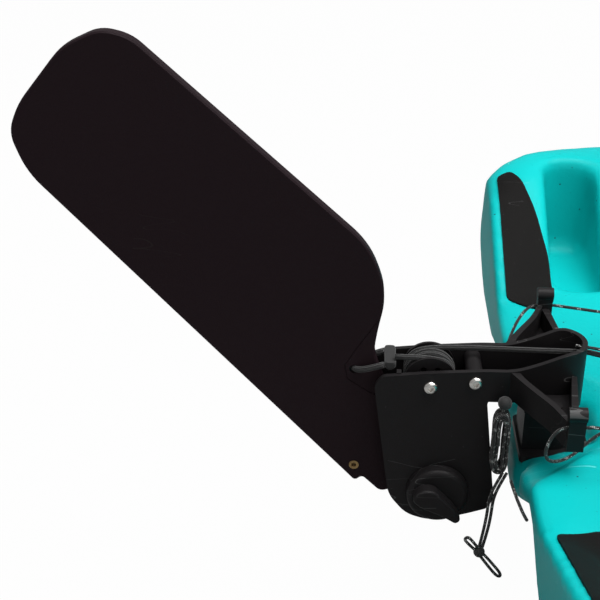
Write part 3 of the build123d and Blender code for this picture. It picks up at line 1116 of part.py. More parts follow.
mesh = Pos((SEAT_AFT_X + SEAT_FRONT_X) / 2, 0, SEAT_Z - MESH_THICK / 2) * extrude(
    RectangleRounded(SEAT_FRONT_X - SEAT_AFT_X - 2 * inset, 2 * (S - inset), 60 - inset), MESH_THICK)
save("seat_base_mesh", mesh)
lean = Pos(BACK_X, 0, BACK_Z) * Rot(0, -BACK_LEAN, 0)
B = BACK_HALF_WIDTH - 5
U = [(0, B, -12), (0, B, 120), (28, B, 210), (0, B, BACK_HEIGHT), (0, -B, BACK_HEIGHT), (28, -B, 210),
     (0, -B, 120),
     (0, -B, -12)]
path = Wire(rounded(U, [0, 40, 40, 50, 50, 40, 40, 0]))
back = sweep(Plane(path @ 0, z_dir=path % 0) * Circle(BACK_TUBE_R), path=path)
for s in (1, -1):
    back += rod(0, s * (B + S - 6 - CLEAR) / 2, 0, 10, S - 6 - CLEAR - B)
back -= rod(0, 0, 0, SEAT_BOLT_R + RUN_FIT, 600)
print("back", back.is_valid, len(back.solids()))
save("seat_back_frame", lean * back)
M = B - 1
top = BACK_HEIGHT - 1
m = MESH_THICK / 2
sheet_line = [(-m, 40), (-m, 122), (28 - m, 210), (-m, top), (m, top), (28 + m, 210), (m, 122), (m, 40)]
back_mesh = plate_xz(sheet_line, (-M, M), [0.5, 38, 38, 0.5, 0.5, 42, 42, 0.5])
back_mesh -= sweep(Plane(path @ 0, z_dir=path % 0) * Circle(BACK_TUBE_R + CLEAR), path=path)
back_mesh = back_mesh.solids().sort_by(SortBy.VOLUME)[-1]
print("back mesh", back_mesh.is_valid, round(back_mesh.volume))
save("seat_back_mesh", lean * back_mesh)
bolts = []
for s in (1, -1):
    y0, y1 = s * (B - BACK_TUBE_R - 1), s * (S + 6)
    b = rod(BACK_X, (y0 + y1) / 2, BACK_Z, SEAT_BOLT_R, abs(y1 - y0))
    b += rod(BACK_X, y1 + s * 2.5, BACK_Z, 7.5, 5)
    bolts.append(b)
save("seat_hinge_bolts", Compound(children=bolts))
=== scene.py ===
# %% [markdown]
# A pedal kayak seen from its stern: a teal hull moulded in one hollow piece, and a black rudder that kicks up.
# The solid model is already at its real size. This lesson adds what a solid can't show: the skin of moulded
# plastic, braided cord, woven cloth, soft light and the camera. All lengths are in metres, with the bow along
# +X, port along +Y and the ground at zero height.

# %% Load the solid model
import bpy
import bmesh
import json
import math
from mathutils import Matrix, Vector
from mathutils.bvhtree import BVHTree


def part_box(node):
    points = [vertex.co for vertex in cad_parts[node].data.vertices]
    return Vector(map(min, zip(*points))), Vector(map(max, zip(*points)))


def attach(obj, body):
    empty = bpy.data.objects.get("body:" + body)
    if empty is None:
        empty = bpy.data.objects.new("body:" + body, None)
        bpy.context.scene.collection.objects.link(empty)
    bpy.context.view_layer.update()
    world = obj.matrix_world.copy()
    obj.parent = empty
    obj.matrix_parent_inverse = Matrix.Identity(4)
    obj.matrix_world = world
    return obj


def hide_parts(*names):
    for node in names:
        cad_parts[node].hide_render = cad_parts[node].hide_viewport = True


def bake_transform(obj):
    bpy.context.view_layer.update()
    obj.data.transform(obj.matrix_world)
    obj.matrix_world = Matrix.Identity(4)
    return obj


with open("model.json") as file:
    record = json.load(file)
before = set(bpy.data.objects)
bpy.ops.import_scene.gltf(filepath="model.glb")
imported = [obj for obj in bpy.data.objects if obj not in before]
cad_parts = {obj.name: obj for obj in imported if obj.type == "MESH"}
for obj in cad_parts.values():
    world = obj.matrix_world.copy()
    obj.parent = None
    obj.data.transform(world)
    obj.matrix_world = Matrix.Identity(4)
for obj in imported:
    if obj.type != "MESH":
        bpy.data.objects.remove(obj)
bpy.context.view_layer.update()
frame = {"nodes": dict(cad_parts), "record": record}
nodes = frame["nodes"]

# %% [markdown]
# The camera comes first, because every other choice is judged through it. The photograph was taken from the
# starboard side, almost level with the transom, looking down by about 28 degrees. A camera object looks along
# its own -Z axis, so the direction of view is turned into a rotation with to_track_quat.

# %% Camera
CAMERA_AT = Vector((-1.7731, -0.8004, 0.7852))
CAMERA_LOOKS = Vector((-0.0460, 0.8776, -0.4772))
LENS = 72.0


def add_camera(place, direction, lens):
    data = bpy.data.cameras.new("camera")
    data.lens = lens
    data.sensor_width = 36.0
    data.clip_start = 0.05
    camera = bpy.data.objects.new("camera", data)
    camera.location = place
    camera.rotation_euler = direction.to_track_quat("-Z", "Y").to_euler()
    bpy.context.scene.collection.objects.link(camera)
    bpy.context.scene.camera = camera
    return camera


camera = add_camera(CAMERA_AT, CAMERA_LOOKS, LENS)
print("camera at", tuple(round(v, 3) for v in camera.location))

# %% [markdown]
# A cord is a fixed length of something limp that follows a smooth line. The line is a NURBS curve through a few
# given control points, with order 3 and pinned ends. Blender turns a curve without a bevel into a chain of close
# points, and a ring of vertices is set square to the chain at each of them. Building the tube in mesh code, and not
# with the curve's own bevel, gives it a UV map in metres, which the braid of the finish needs.

# %% Cord helpers
CORD_SIDES = 14


def smooth_line(name, route, fineness=10):
    """The points of a NURBS curve of order 3 through the route's control points."""
    curve = bpy.data.curves.new(name + "_line", "CURVE")
    curve.dimensions = "3D"
    curve.resolution_u = fineness
    spline = curve.splines.new("NURBS")
    spline.points.add(len(route) - 1)
    for point, place in zip(spline.points, route):
        point.co = (*place, 1.0)
    spline.order_u = 3
    spline.use_endpoint_u = True
    holder = bpy.data.objects.new(name + "_line", curve)
    bpy.context.scene.collection.objects.link(holder)
    mesh = bpy.data.meshes.new_from_object(holder.evaluated_get(bpy.context.evaluated_depsgraph_get()))
    line = [v.co.copy() for v in mesh.vertices]
    bpy.data.objects.remove(holder)
    bpy.data.curves.remove(curve)
    bpy.data.meshes.remove(mesh)
    return line


def cord_mesh(name, line, diameter, swell=None):
    """A tube round a line, with u round the tube and v along it, both in metres."""
    along = [0.0]
    for a, b in zip(line, line[1:]):
        along.append(along[-1] + (b - a).length)
    side = None
    mesh = bmesh.new()
    uv = mesh.loops.layers.uv.new("cord")
    rings = []
    for i, place in enumerate(line):
        ahead = (line[min(i + 1, len(line) - 1)] - line[max(i - 1, 0)]).normalized()
        side = ahead.orthogonal() if side is None else side - ahead * side.dot(ahead)
        side.normalize()
        other = ahead.cross(side)
        radius = diameter / 2 * (swell(along[i] / along[-1]) if swell else 1.0)
        ring = []
        for k in range(CORD_SIDES):
            a = 2 * math.pi * k / CORD_SIDES
            ring.append(mesh.verts.new(place + (side * math.cos(a) + other * math.sin(a)) * radius))
        rings.append(ring)
    for i in range(len(rings) - 1):
        for k in range(CORD_SIDES):
            n = (k + 1) % CORD_SIDES
            face = mesh.faces.new((rings[i][k], rings[i][n], rings[i + 1][n], rings[i + 1][k]))
            face.smooth = True
            for loop, (u, v) in zip(face.loops, ((k, i), (k + 1, i), (k + 1, i + 1), (k, i + 1))):
                loop[uv].uv = (u / CORD_SIDES * math.pi * diameter, along[v])
    for ring, flip in ((rings[0], True), (rings[-1], False)):
        mesh.faces.new(ring[::-1] if flip else ring)
    data = bpy.data.meshes.new(name)
    mesh.to_mesh(data)
    mesh.free()
    piece = bpy.data.objects.new(name, data)
    bpy.context.scene.collection.objects.link(piece)
    return piece, along[-1]


def lay_cord(name, route, diameter, fineness=10):
    """One cord: its tube, whose length is printed."""
    line = smooth_line(name, route, fineness)
    piece, length = cord_mesh(name, line, diameter)
    print(f"{name}: {length * 1000:.0f} mm of {diameter * 1000:.1f} mm cord")
    return piece


# %% [markdown]
# Two thin steering lines come out of glands in the deck, pass through the eyelets at the ends of the rudder
# head's arms and carry on as spare tails. The port tail passes between the head and the transom and is tied to
# a hank of spare line. The starboard tail loops back to its own gland. Two more lines run from the middle gland
# to the nose of the head: a thin one, and the thick cord that lifts the blade.

# %% Steering and lifting lines
LINE = 0.0025
LIFT_CORD = 0.0044
GLAND_FACE = -1.446
IN_GLAND = GLAND_FACE + 0.0075
GLAND_HEIGHT = 0.281
EYELET_X, EYELET_Y, EYELET_HEIGHT = -1.615, 0.090, 0.302
NOSE_X = -1.595
LIFT_LINE_AT = (0.003, 0.3145)
LIFT_CORD_AT = (0.005, 0.308)

port_route = [(IN_GLAND, EYELET_Y, GLAND_HEIGHT), (GLAND_FACE - 0.005, EYELET_Y, GLAND_HEIGHT),
              (-1.599, EYELET_Y, 0.301), (-1.607, EYELET_Y, EYELET_HEIGHT), (-1.624, EYELET_Y, EYELET_HEIGHT),
              (-1.632, 0.083, 0.3005), (-1.641, 0.068, 0.295), (-1.649, 0.050, 0.284),
              (-1.6515, 0.028, 0.271), (-1.651, 0.004, 0.268), (-1.653, -0.018, 0.272),
              (-1.6562, -0.0316, 0.2826)]
starboard_route = [(IN_GLAND, -0.093, GLAND_HEIGHT), (GLAND_FACE - 0.005, -0.093, GLAND_HEIGHT),
                   (-1.599, -EYELET_Y, 0.3025), (-1.607, -EYELET_Y, EYELET_HEIGHT),
                   (-1.624, -EYELET_Y, EYELET_HEIGHT), (-1.631, -0.092, 0.297), (-1.636, -0.094, 0.284),
                   (-1.632, -0.086, 0.270), (-1.623, -0.074, 0.260), (-1.611, -0.065, 0.2585),
                   (-1.601, -0.061, 0.267), (-1.590, -0.060, 0.278), (-1.574, -0.060, 0.285),
                   (GLAND_FACE - 0.006, -0.060, GLAND_HEIGHT), (IN_GLAND, -0.060, GLAND_HEIGHT)]
lift_line_route = [(IN_GLAND, 0.004, GLAND_HEIGHT), (GLAND_FACE - 0.005, 0.004, GLAND_HEIGHT),
                   (NOSE_X + 0.006, LIFT_LINE_AT[0], LIFT_LINE_AT[1] - 0.001),
                   (NOSE_X - 0.008, *LIFT_LINE_AT)]
front_cord_route = [(IN_GLAND, 0.004, GLAND_HEIGHT - 0.009), (GLAND_FACE - 0.005, 0.004, GLAND_HEIGHT - 0.009),
                    (NOSE_X + 0.008, LIFT_CORD_AT[0], LIFT_CORD_AT[1] - 0.001),
                    (NOSE_X + 0.0003, *LIFT_CORD_AT)]
steering_port = lay_cord("steering_cord_port", port_route, LINE)
steering_starboard = lay_cord("steering_cord_starboard", starboard_route, LINE)
lift_line = lay_cord("lift_cord_thin", lift_line_route, LINE)
lift_front = lay_cord("lift_cord_thick", front_cord_route, LIFT_CORD)
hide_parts("steering_line_port")
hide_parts("steering_line_starboard")
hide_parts("lift_lines")
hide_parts("lift_lines")

# %% [markdown]
# The lift cord runs back inside the channel and winds three times round the grooved drum of the sheave. Each
# turn is eight control points on a circle, and each point steps sideways a little, so the turns lie side by
# side. The control points stand outside the circle by one over the cosine of half a step, because the curve
# touches the middle of each span.

# %% Lift cord on its sheave
SHEAVE_AT = (-1.714, 0.289)
WRAP_R = 0.0156 + LIFT_CORD / 2 + 0.00025
TURNS = 3
POINTS_A_TURN = 8
TURN_STEP = (0.026 - 2 * 0.0024 - LIFT_CORD - 0.0008) / TURNS
KNOT_AT = (-1.745, 0.302)


def wound_route():
    sx, sz = SHEAVE_AT
    reach = TURNS * TURN_STEP / 2
    points = [(NOSE_X, *LIFT_CORD_AT), (NOSE_X - 0.040, LIFT_CORD_AT[0] + 0.0005, LIFT_CORD_AT[1]),
              (sx + 0.040, reach, sz + WRAP_R + 0.0003)]
    outside = WRAP_R / math.cos(math.pi / POINTS_A_TURN)
    for k in range(TURNS * POINTS_A_TURN):
        angle = math.pi / 2 + (k + 0.5) * 2 * math.pi / POINTS_A_TURN
        y = reach - TURN_STEP * (k + 0.5) / POINTS_A_TURN
        points.append((sx + outside * math.cos(angle), y, sz + outside * math.sin(angle)))
    points.append((KNOT_AT[0] + 0.0032, -reach, sz + WRAP_R - 0.0001))
    return points


lift_cord = lay_cord("lift_cord_wound", wound_route(), LIFT_CORD)
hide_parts("lift_cord")
BLADE_CORD = 0.005
loop_x = KNOT_AT[0] - 0.00455
blade_route = [(loop_x, -0.0105, 0.301), (-1.773, -0.011, 0.2925), (-1.773, 0.011, 0.2925),
               (loop_x, 0.0105, 0.301)]
blade_loop = lay_cord("blade_cord_loop", blade_route, BLADE_CORD)
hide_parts("blade_cord")

# %% [markdown]
# The spare line is folded into a hank of long loops, tied at its top, and a tail of two strands hangs from it
# and ends in a knot with two small bights. A hank is one unbroken cord, so its loops are one long route: four
# loops that climb sideways, then four smaller ones inside them that climb back.

# %% Spare line
HANK_AT = (-1.6595, -0.038, 0.2515)
HANK_HALF = 0.027
HANK_HALF_WIDTH = 0.006
HANK_STEP = 0.003
HANK_LOOPS = 4
HANK_WAIST = 0.001


def hank_loops(width, length, y, step):
    points = []
    for k in range(HANK_LOOPS):
        a = y + k * step
        slim = width - HANK_WAIST
        points += [(width, a, -length), (slim, a + step / 4, 0), (width, a + step / 2, length),
                   (-width, a + step / 2, length), (-slim, a + 3 * step / 4, 0), (-width, a + step, -length)]
    return points


reach = HANK_LOOPS * HANK_STEP
hank_route = hank_loops(HANK_HALF_WIDTH, HANK_HALF, -reach / 2, HANK_STEP)[1:]
hank_route += hank_loops(HANK_HALF_WIDTH - HANK_STEP, HANK_HALF - HANK_STEP, reach / 2, -HANK_STEP)
hank_route = [(HANK_AT[0] + x, HANK_AT[1] + y, HANK_AT[2] + z) for x, y, z in hank_route[:-1]]
hank = lay_cord("spare_hank", hank_route, LINE, 8)
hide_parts("spare_line_hank")
TAIL_Y = -0.045
tail_pieces = []
for n, shift in enumerate((-0.0016, 0.0016)):
    run = [(-1.655 + shift, TAIL_Y, 0.2272), (-1.660 + shift, TAIL_Y, 0.215), (-1.6635 + shift, TAIL_Y, 0.202),
           (-1.664 + shift, TAIL_Y, 0.186), (-1.6655 + shift, TAIL_Y, 0.170),
           (-1.668 + shift * 0.8, TAIL_Y, 0.154)]
    tail_pieces.append(lay_cord(f"spare_tail_{n}", run, LINE))
side_route = [(-1.6505, -0.050, 0.224), (-1.648, -0.062, 0.220), (-1.6462, -0.080, 0.222),
              (-1.6462, -0.098, 0.229), (-1.6464, -0.112, 0.236)]
tail_pieces.append(lay_cord("spare_side_strand", side_route, LINE))
TAIL_KNOT = Vector((-1.669, TAIL_Y, 0.149))
BIGHT_WIDTH = 0.0021
for n, tip in enumerate(((-1.681, TAIL_Y, 0.1635), (-1.650, TAIL_Y, 0.1235))):
    way = Vector(tip) - TAIL_KNOT
    run = way.normalized()
    across = Vector((-run.z, 0, run.x)) * BIGHT_WIDTH
    base, far = TAIL_KNOT + run * 0.0048, TAIL_KNOT + run * (way.length - LINE / 2)
    waist = base + run * way.length * 0.3
    bight = [base + across * 0.78, waist + across, far + across, far - across, waist - across,
             base - across * 0.78]
    tail_pieces.append(lay_cord(f"spare_bight_{n}", [tuple(p) for p in bight], LINE))
for piece in tail_pieces:
    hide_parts("spare_line_tail")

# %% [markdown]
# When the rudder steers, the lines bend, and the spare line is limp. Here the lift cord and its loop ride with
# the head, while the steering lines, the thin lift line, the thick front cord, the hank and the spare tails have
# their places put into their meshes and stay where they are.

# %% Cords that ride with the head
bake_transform(steering_port)
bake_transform(steering_starboard)
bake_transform(lift_line)
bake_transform(lift_front)
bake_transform(hank)
for piece in tail_pieces:
    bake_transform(piece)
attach(lift_cord, "head")
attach(blade_loop, "head")
print("cords tied to their bodies")

# %% [markdown]
# Finishes share a few effects, and each effect is a node group that is built once. A group has named inputs,
# so one group can give fine grain on a grip and coarse grain on a hull. The shader itself stays in the
# material. First come two small helpers: one starts a group with its sockets, and one starts a material.

# %% Helpers for groups and materials
def new_group(name, inputs, outputs):
    """A shader node group with float inputs (name, value) and outputs (name, socket type)."""
    group = bpy.data.node_groups.new(name, "ShaderNodeTree")
    for label, value in inputs:
        socket = group.interface.new_socket(label, in_out="INPUT", socket_type="NodeSocketFloat")
        socket.default_value = value
    for label, kind in outputs:
        group.interface.new_socket(label, in_out="OUTPUT", socket_type=kind)
    start = group.nodes.new("NodeGroupInput")
    end = group.nodes.new("NodeGroupOutput")
    return group, start, end


def add(tree, kind, **settings):
    """A node with its properties set, and its input sockets set through a dictionary called inputs."""
    node = tree.nodes.new("ShaderNode" + kind)
    values = settings.pop("inputs", {})
    for key, value in settings.items():
        setattr(node, key, value)
    for key, value in values.items():
        node.inputs[key].default_value = value
    return node


def join(tree, *pairs):
    for source, target in pairs:
        tree.links.new(source, target)


def new_finish(name, colour, roughness, **sockets):
    """A material with a Principled shader whose plain values are set on its own sockets."""
    finish = bpy.data.materials.new(name)
    finish.use_nodes = True
    shader = finish.node_tree.nodes["Principled BSDF"]
    shader.inputs["Base Color"].default_value = (*colour, 1)
    shader.inputs["Roughness"].default_value = roughness
    for socket, value in sockets.items():
        shader.inputs[socket.replace("_", " ")].default_value = value
    return finish, finish.node_tree, shader


def use_group(tree, group, **values):
    node = tree.nodes.new("ShaderNodeGroup")
    node.node_tree = group
    for socket, value in values.items():
        node.inputs[socket.replace("_", " ")].default_value = value
    return node


print("helpers ready")

# %% [markdown]
# Moulded plastic is never flat. Under a lamp it shows a fine leathery grain left by the mould, and a slow
# unevenness where the wall cooled. Two noises, one fine and one broad, give a height for the Bump node and a
# value that varies the roughness. Object coordinates are metres here, so a scale of 900 is a grain near 1 mm.

# %% Grain group
grain_group, g_in, g_out = new_group("mould_grain", [("Grain Scale", 900.0), ("Depth", 0.0002), ("Waves", 4.0)],
                                     [("Normal", "NodeSocketVector"), ("Variation", "NodeSocketFloat")])
place = add(grain_group, "TexCoord")
fine = add(grain_group, "TexNoise", inputs={"Detail": 4.0, "Roughness": 0.6})
broad = add(grain_group, "TexNoise", inputs={"Detail": 2.0})
half_wave = add(grain_group, "Math", operation="MULTIPLY", inputs={1: 0.6})
height = add(grain_group, "Math", operation="ADD")
bump = add(grain_group, "Bump", inputs={"Strength": 1.0})
join(grain_group, (place.outputs["Object"], fine.inputs["Vector"]),
     (place.outputs["Object"], broad.inputs["Vector"]), (g_in.outputs["Grain Scale"], fine.inputs["Scale"]),
     (g_in.outputs["Waves"], broad.inputs["Scale"]), (broad.outputs["Fac"], half_wave.inputs[0]),
     (half_wave.outputs[0], height.inputs[0]), (fine.outputs["Fac"], height.inputs[1]),
     (height.outputs[0], bump.inputs["Height"]), (g_in.outputs["Depth"], bump.inputs["Distance"]),
     (bump.outputs["Normal"], g_out.inputs["Normal"]), (broad.outputs["Fac"], g_out.inputs["Variation"]))
print("group:", grain_group.name)

# %% [markdown]
# A used hull carries small dark specks and fine scratches. Specks are the centres of Voronoi cells, kept only
# where the cell's random colour is above a limit, so they are few and uneven. Scratches are thin level bands of
# a stretched noise, broken up by a second noise.

# %% Speck and scratch groups
speck_group, g_in, g_out = new_group("specks", [("Scale", 110.0), ("Size", 0.07), ("Share", 0.2)],
                                     [("Mask", "NodeSocketFloat")])
place = add(speck_group, "TexCoord")
cells = add(speck_group, "TexVoronoi", inputs={"Randomness": 1.0})
near = add(speck_group, "Math", operation="LESS_THAN")
pick = add(speck_group, "Math", operation="LESS_THAN")
channel = add(speck_group, "SeparateColor")
both = add(speck_group, "Math", operation="MULTIPLY")
join(speck_group, (place.outputs["Object"], cells.inputs["Vector"]), (g_in.outputs["Scale"], cells.inputs["Scale"]),
     (cells.outputs["Distance"], near.inputs[0]), (g_in.outputs["Size"], near.inputs[1]),
     (cells.outputs["Color"], channel.inputs[0]), (channel.outputs[0], pick.inputs[0]),
     (g_in.outputs["Share"], pick.inputs[1]), (near.outputs[0], both.inputs[0]), (pick.outputs[0], both.inputs[1]),
     (both.outputs[0], g_out.inputs["Mask"]))

scratch_group, g_in, g_out = new_group("scratches", [("Scale", 30.0), ("Width", 0.008), ("Share", 0.55)],
                                       [("Mask", "NodeSocketFloat")])
place = add(scratch_group, "TexCoord")
stretch = add(scratch_group, "Mapping", inputs={"Rotation": (0.2, 0.35, 0.5), "Scale": (0.15, 1.0, 1.0)})
lines = add(scratch_group, "TexNoise", inputs={"Detail": 1.0, "Distortion": 0.6})
middle = add(scratch_group, "Math", operation="SUBTRACT", inputs={1: 0.5})
size = add(scratch_group, "Math", operation="ABSOLUTE")
thin = add(scratch_group, "Math", operation="LESS_THAN")
patch = add(scratch_group, "TexNoise", inputs={"Scale": 9.0, "Detail": 1.0})
keep = add(scratch_group, "Math", operation="GREATER_THAN")
both = add(scratch_group, "Math", operation="MULTIPLY")
join(scratch_group, (place.outputs["Object"], stretch.inputs["Vector"]),
     (stretch.outputs[0], lines.inputs["Vector"]), (g_in.outputs["Scale"], lines.inputs["Scale"]),
     (lines.outputs["Fac"], middle.inputs[0]), (middle.outputs[0], size.inputs[0]), (size.outputs[0], thin.inputs[0]),
     (g_in.outputs["Width"], thin.inputs[1]), (place.outputs["Object"], patch.inputs["Vector"]),
     (patch.outputs["Fac"], keep.inputs[0]), (g_in.outputs["Share"], keep.inputs[1]),
     (thin.outputs[0], both.inputs[0]), (keep.outputs[0], both.inputs[1]), (both.outputs[0], g_out.inputs["Mask"]))
print("groups:", speck_group.name, scratch_group.name)

# %% [markdown]
# A braided cord is a sleeve of strands that cross over and under each other. The cord's UV map is in metres, so
# two sets of slanting waves, one turning left and one right, give the lozenge pattern. The flecks of the line
# are single white yarns that surface now and then, so they follow one set of waves and are thinned by a noise.

# %% Braid group
braid_group, g_in, g_out = new_group("braid", [("Pitch", 0.0022), ("Round", 0.00785), ("Depth", 0.0003)],
                                     [("Normal", "NodeSocketVector"), ("Yarn", "NodeSocketFloat")])
flat = add(braid_group, "UVMap", uv_map="cord")
parts = add(braid_group, "SeparateXYZ")
turns = add(braid_group, "Math", operation="DIVIDE")
steps = add(braid_group, "Math", operation="DIVIDE")
left = add(braid_group, "Math", operation="ADD")
right = add(braid_group, "Math", operation="SUBTRACT")
join(braid_group, (flat.outputs["UV"], parts.inputs[0]), (parts.outputs["X"], turns.inputs[0]),
     (g_in.outputs["Round"], turns.inputs[1]), (parts.outputs["Y"], steps.inputs[0]),
     (g_in.outputs["Pitch"], steps.inputs[1]))
four_turns = add(braid_group, "Math", operation="MULTIPLY", inputs={1: 4.0})
join(braid_group, (turns.outputs[0], four_turns.inputs[0]), (four_turns.outputs[0], left.inputs[0]),
     (steps.outputs[0], left.inputs[1]), (four_turns.outputs[0], right.inputs[0]), (steps.outputs[0], right.inputs[1]))
waves = []
for way in (left, right):
    turn = add(braid_group, "Math", operation="MULTIPLY", inputs={1: 2 * math.pi})
    wave = add(braid_group, "Math", operation="SINE")
    join(braid_group, (way.outputs[0], turn.inputs[0]), (turn.outputs[0], wave.inputs[0]))
    waves.append(wave)
cross = add(braid_group, "Math", operation="MULTIPLY")
bump = add(braid_group, "Bump", inputs={"Strength": 1.0})
join(braid_group, (waves[0].outputs[0], cross.inputs[0]), (waves[1].outputs[0], cross.inputs[1]),
     (cross.outputs[0], bump.inputs["Height"]), (g_in.outputs["Depth"], bump.inputs["Distance"]),
     (bump.outputs["Normal"], g_out.inputs["Normal"]), (cross.outputs[0], g_out.inputs["Yarn"]))
print("group:", braid_group.name)

# %% [markdown]
# The sling of the seat is an open weave of thick threads. Its height is the larger of two rows of ridges, the
# warp and the weft, and the low spots between them stand for the holes, which the material colours near black as
# painted shade for the dark seen through them.

# %% Weave group
weave_group, g_in, g_out = new_group("open_weave", [("Threads", 420.0), ("Depth", 0.0005)],
                                     [("Normal", "NodeSocketVector"), ("Painted Hole Shade", "NodeSocketFloat")])
flat = add(weave_group, "UVMap", uv_map="cloth")
parts = add(weave_group, "SeparateXYZ")
join(weave_group, (flat.outputs["UV"], parts.inputs[0]))
ridges = []
for axis in ("X", "Y"):
    count = add(weave_group, "Math", operation="MULTIPLY")
    turn = add(weave_group, "Math", operation="MULTIPLY", inputs={1: 2 * math.pi})
    wave = add(weave_group, "Math", operation="SINE")
    join(weave_group, (parts.outputs[axis], count.inputs[0]), (g_in.outputs["Threads"], count.inputs[1]),
         (count.outputs[0], turn.inputs[0]), (turn.outputs[0], wave.inputs[0]))
    ridges.append(wave)
top = add(weave_group, "Math", operation="MAXIMUM")
# Painted shade: the low spots between the ridges become the mask that the material colours near black.
painted_hole_shade = add(weave_group, "Math", operation="LESS_THAN", inputs={1: -0.25})
bump = add(weave_group, "Bump", inputs={"Strength": 1.0})
join(weave_group, (ridges[0].outputs[0], top.inputs[0]), (ridges[1].outputs[0], top.inputs[1]),
     (top.outputs[0], bump.inputs["Height"]), (g_in.outputs["Depth"], bump.inputs["Distance"]),
     (bump.outputs["Normal"], g_out.inputs["Normal"]), (top.outputs[0], painted_hole_shade.inputs[0]),
     (painted_hole_shade.outputs[0], g_out.inputs["Painted Hole Shade"]))
print("group:", weave_group.name)

# %% [markdown]
# The hull is polyethylene, coloured all through, with a soft satin gloss. Its teal fades a little from place to
# place. Dark specks and pale scratches lie over it.

# %% Hull finish
TEAL = (0.002, 0.46, 0.455)
TEAL_DEEP = (0.001, 0.36, 0.36)
SPECK = (0.01, 0.09, 0.09)
SCRATCH = (0.10, 0.58, 0.57)


def mix_colour(tree, mask, first, second):
    """A Mix node between two colours, each a plain colour or a colour socket, driven by a mask."""
    node = add(tree, "Mix", data_type="RGBA")
    for value, socket in ((first, node.inputs[6]), (second, node.inputs[7])):
        if isinstance(value, tuple):
            socket.default_value = (*value, 1)
        else:
            tree.links.new(value, socket)
    tree.links.new(mask, node.inputs[0])
    return node.outputs[2]


def hull_finish():
    finish, tree, shader = new_finish("teal_polyethylene", TEAL, 0.45, Specular_IOR_Level=0.10)
    grain = use_group(tree, grain_group, Grain_Scale=260.0, Depth=0.00025, Waves=3.0)
    specks = use_group(tree, speck_group, Scale=95.0, Size=0.085, Share=0.16)
    dust = use_group(tree, speck_group, Scale=300.0, Size=0.10, Share=0.10)
    scratch = use_group(tree, scratch_group, Scale=26.0, Width=0.0025, Share=0.62)
    fade = add(tree, "MapRange", inputs={"From Min": 0.35, "From Max": 0.65})
    tree.links.new(grain.outputs["Variation"], fade.inputs["Value"])
    colour = mix_colour(tree, fade.outputs[0], TEAL_DEEP, TEAL)
    colour = mix_colour(tree, scratch.outputs["Mask"], colour, SCRATCH)
    colour = mix_colour(tree, specks.outputs["Mask"], colour, SPECK)
    colour = mix_colour(tree, dust.outputs["Mask"], colour, SPECK)
    rough = add(tree, "MapRange", inputs={"From Min": 0.3, "From Max": 0.7, "To Min": 0.34, "To Max": 0.52})
    join(tree, (colour, shader.inputs["Base Color"]), (grain.outputs["Normal"], shader.inputs["Normal"]),
         (grain.outputs["Variation"], rough.inputs["Value"]), (rough.outputs[0], shader.inputs["Roughness"]))
    return finish


finishes = {"hull_teal": hull_finish()}
print("hull finish made")

# %% [markdown]
# Every black part is black in its own way. The grips are soft and dull, the nylon of the rudder head is
# satin, and the blade is flatter still. One function makes them all from a colour, a roughness range and a
# grain, with a few scratches and a little pale dust.

# %% Black plastics
def moulded(name, colour, rough, grain_scale, depth, specular=0.5, scratch_share=0.60, scratch=(0.06, 0.06, 0.06)):
    finish, tree, shader = new_finish(name, colour, rough, Specular_IOR_Level=specular)
    grain = use_group(tree, grain_group, Grain_Scale=grain_scale, Depth=depth, Waves=9.0)
    lines = use_group(tree, scratch_group, Scale=45.0, Width=0.0025, Share=scratch_share)
    dust = use_group(tree, speck_group, Scale=420.0, Size=0.12, Share=0.05)
    tone = mix_colour(tree, lines.outputs["Mask"], colour, scratch)
    tone = mix_colour(tree, dust.outputs["Mask"], tone, scratch)
    change = add(tree, "MapRange", inputs={"From Min": 0.3, "From Max": 0.7, "To Min": rough - 0.06,
                                           "To Max": rough + 0.08})
    join(tree, (tone, shader.inputs["Base Color"]), (grain.outputs["Normal"], shader.inputs["Normal"]),
         (grain.outputs["Variation"], change.inputs["Value"]), (change.outputs[0], shader.inputs["Roughness"]))
    return finish


finishes["grip_black"] = moulded("soft_grip", (0.006, 0.0056, 0.0054), 0.6, 700.0, 0.0004, 0.06)
finishes["black_plastic"] = moulded("black_nylon", (0.0095, 0.0085, 0.009), 0.42, 1100.0, 0.00012, 0.13)
finishes["blade_black"] = moulded("blade_plate", (0.0135, 0.0078, 0.0098), 0.55, 900.0, 0.0001, 0.06, 0.68,
                                  (0.017, 0.012, 0.013))
finishes["seal_rubber"] = moulded("foam_rubber", (0.02, 0.02, 0.02), 0.8, 1500.0, 0.0003, 0.2)
finishes["prop_grey"] = moulded("filled_nylon", (0.03, 0.032, 0.035), 0.45, 800.0, 0.0001)
finishes["pedal_grey"] = moulded("pedal_nylon", (0.03, 0.032, 0.034), 0.4, 600.0, 0.0003)
print("plastics:", len(finishes))

# %% [markdown]
# Metals come in three kinds here: polished stainless screws and shafts, dull brass, and anodised tube, which
# keeps the fine lines of its drawing. Metallic stays a plain value on the shader, and only roughness varies.

# %% Metals
def metal(name, colour, rough, spread, scale, depth):
    finish, tree, shader = new_finish(name, colour, rough, Metallic=1.0)
    grain = use_group(tree, grain_group, Grain_Scale=scale, Depth=depth, Waves=30.0)
    lines = use_group(tree, scratch_group, Scale=120.0, Width=0.01, Share=0.5)
    change = add(tree, "MapRange", inputs={"From Min": 0.3, "From Max": 0.7, "To Min": rough, "To Max": rough + spread})
    more = add(tree, "Math", operation="MULTIPLY_ADD", inputs={1: 0.15})
    join(tree, (grain.outputs["Normal"], shader.inputs["Normal"]), (grain.outputs["Variation"], change.inputs["Value"]),
         (lines.outputs["Mask"], more.inputs[0]), (change.outputs[0], more.inputs[2]),
         (more.outputs[0], shader.inputs["Roughness"]))
    return finish


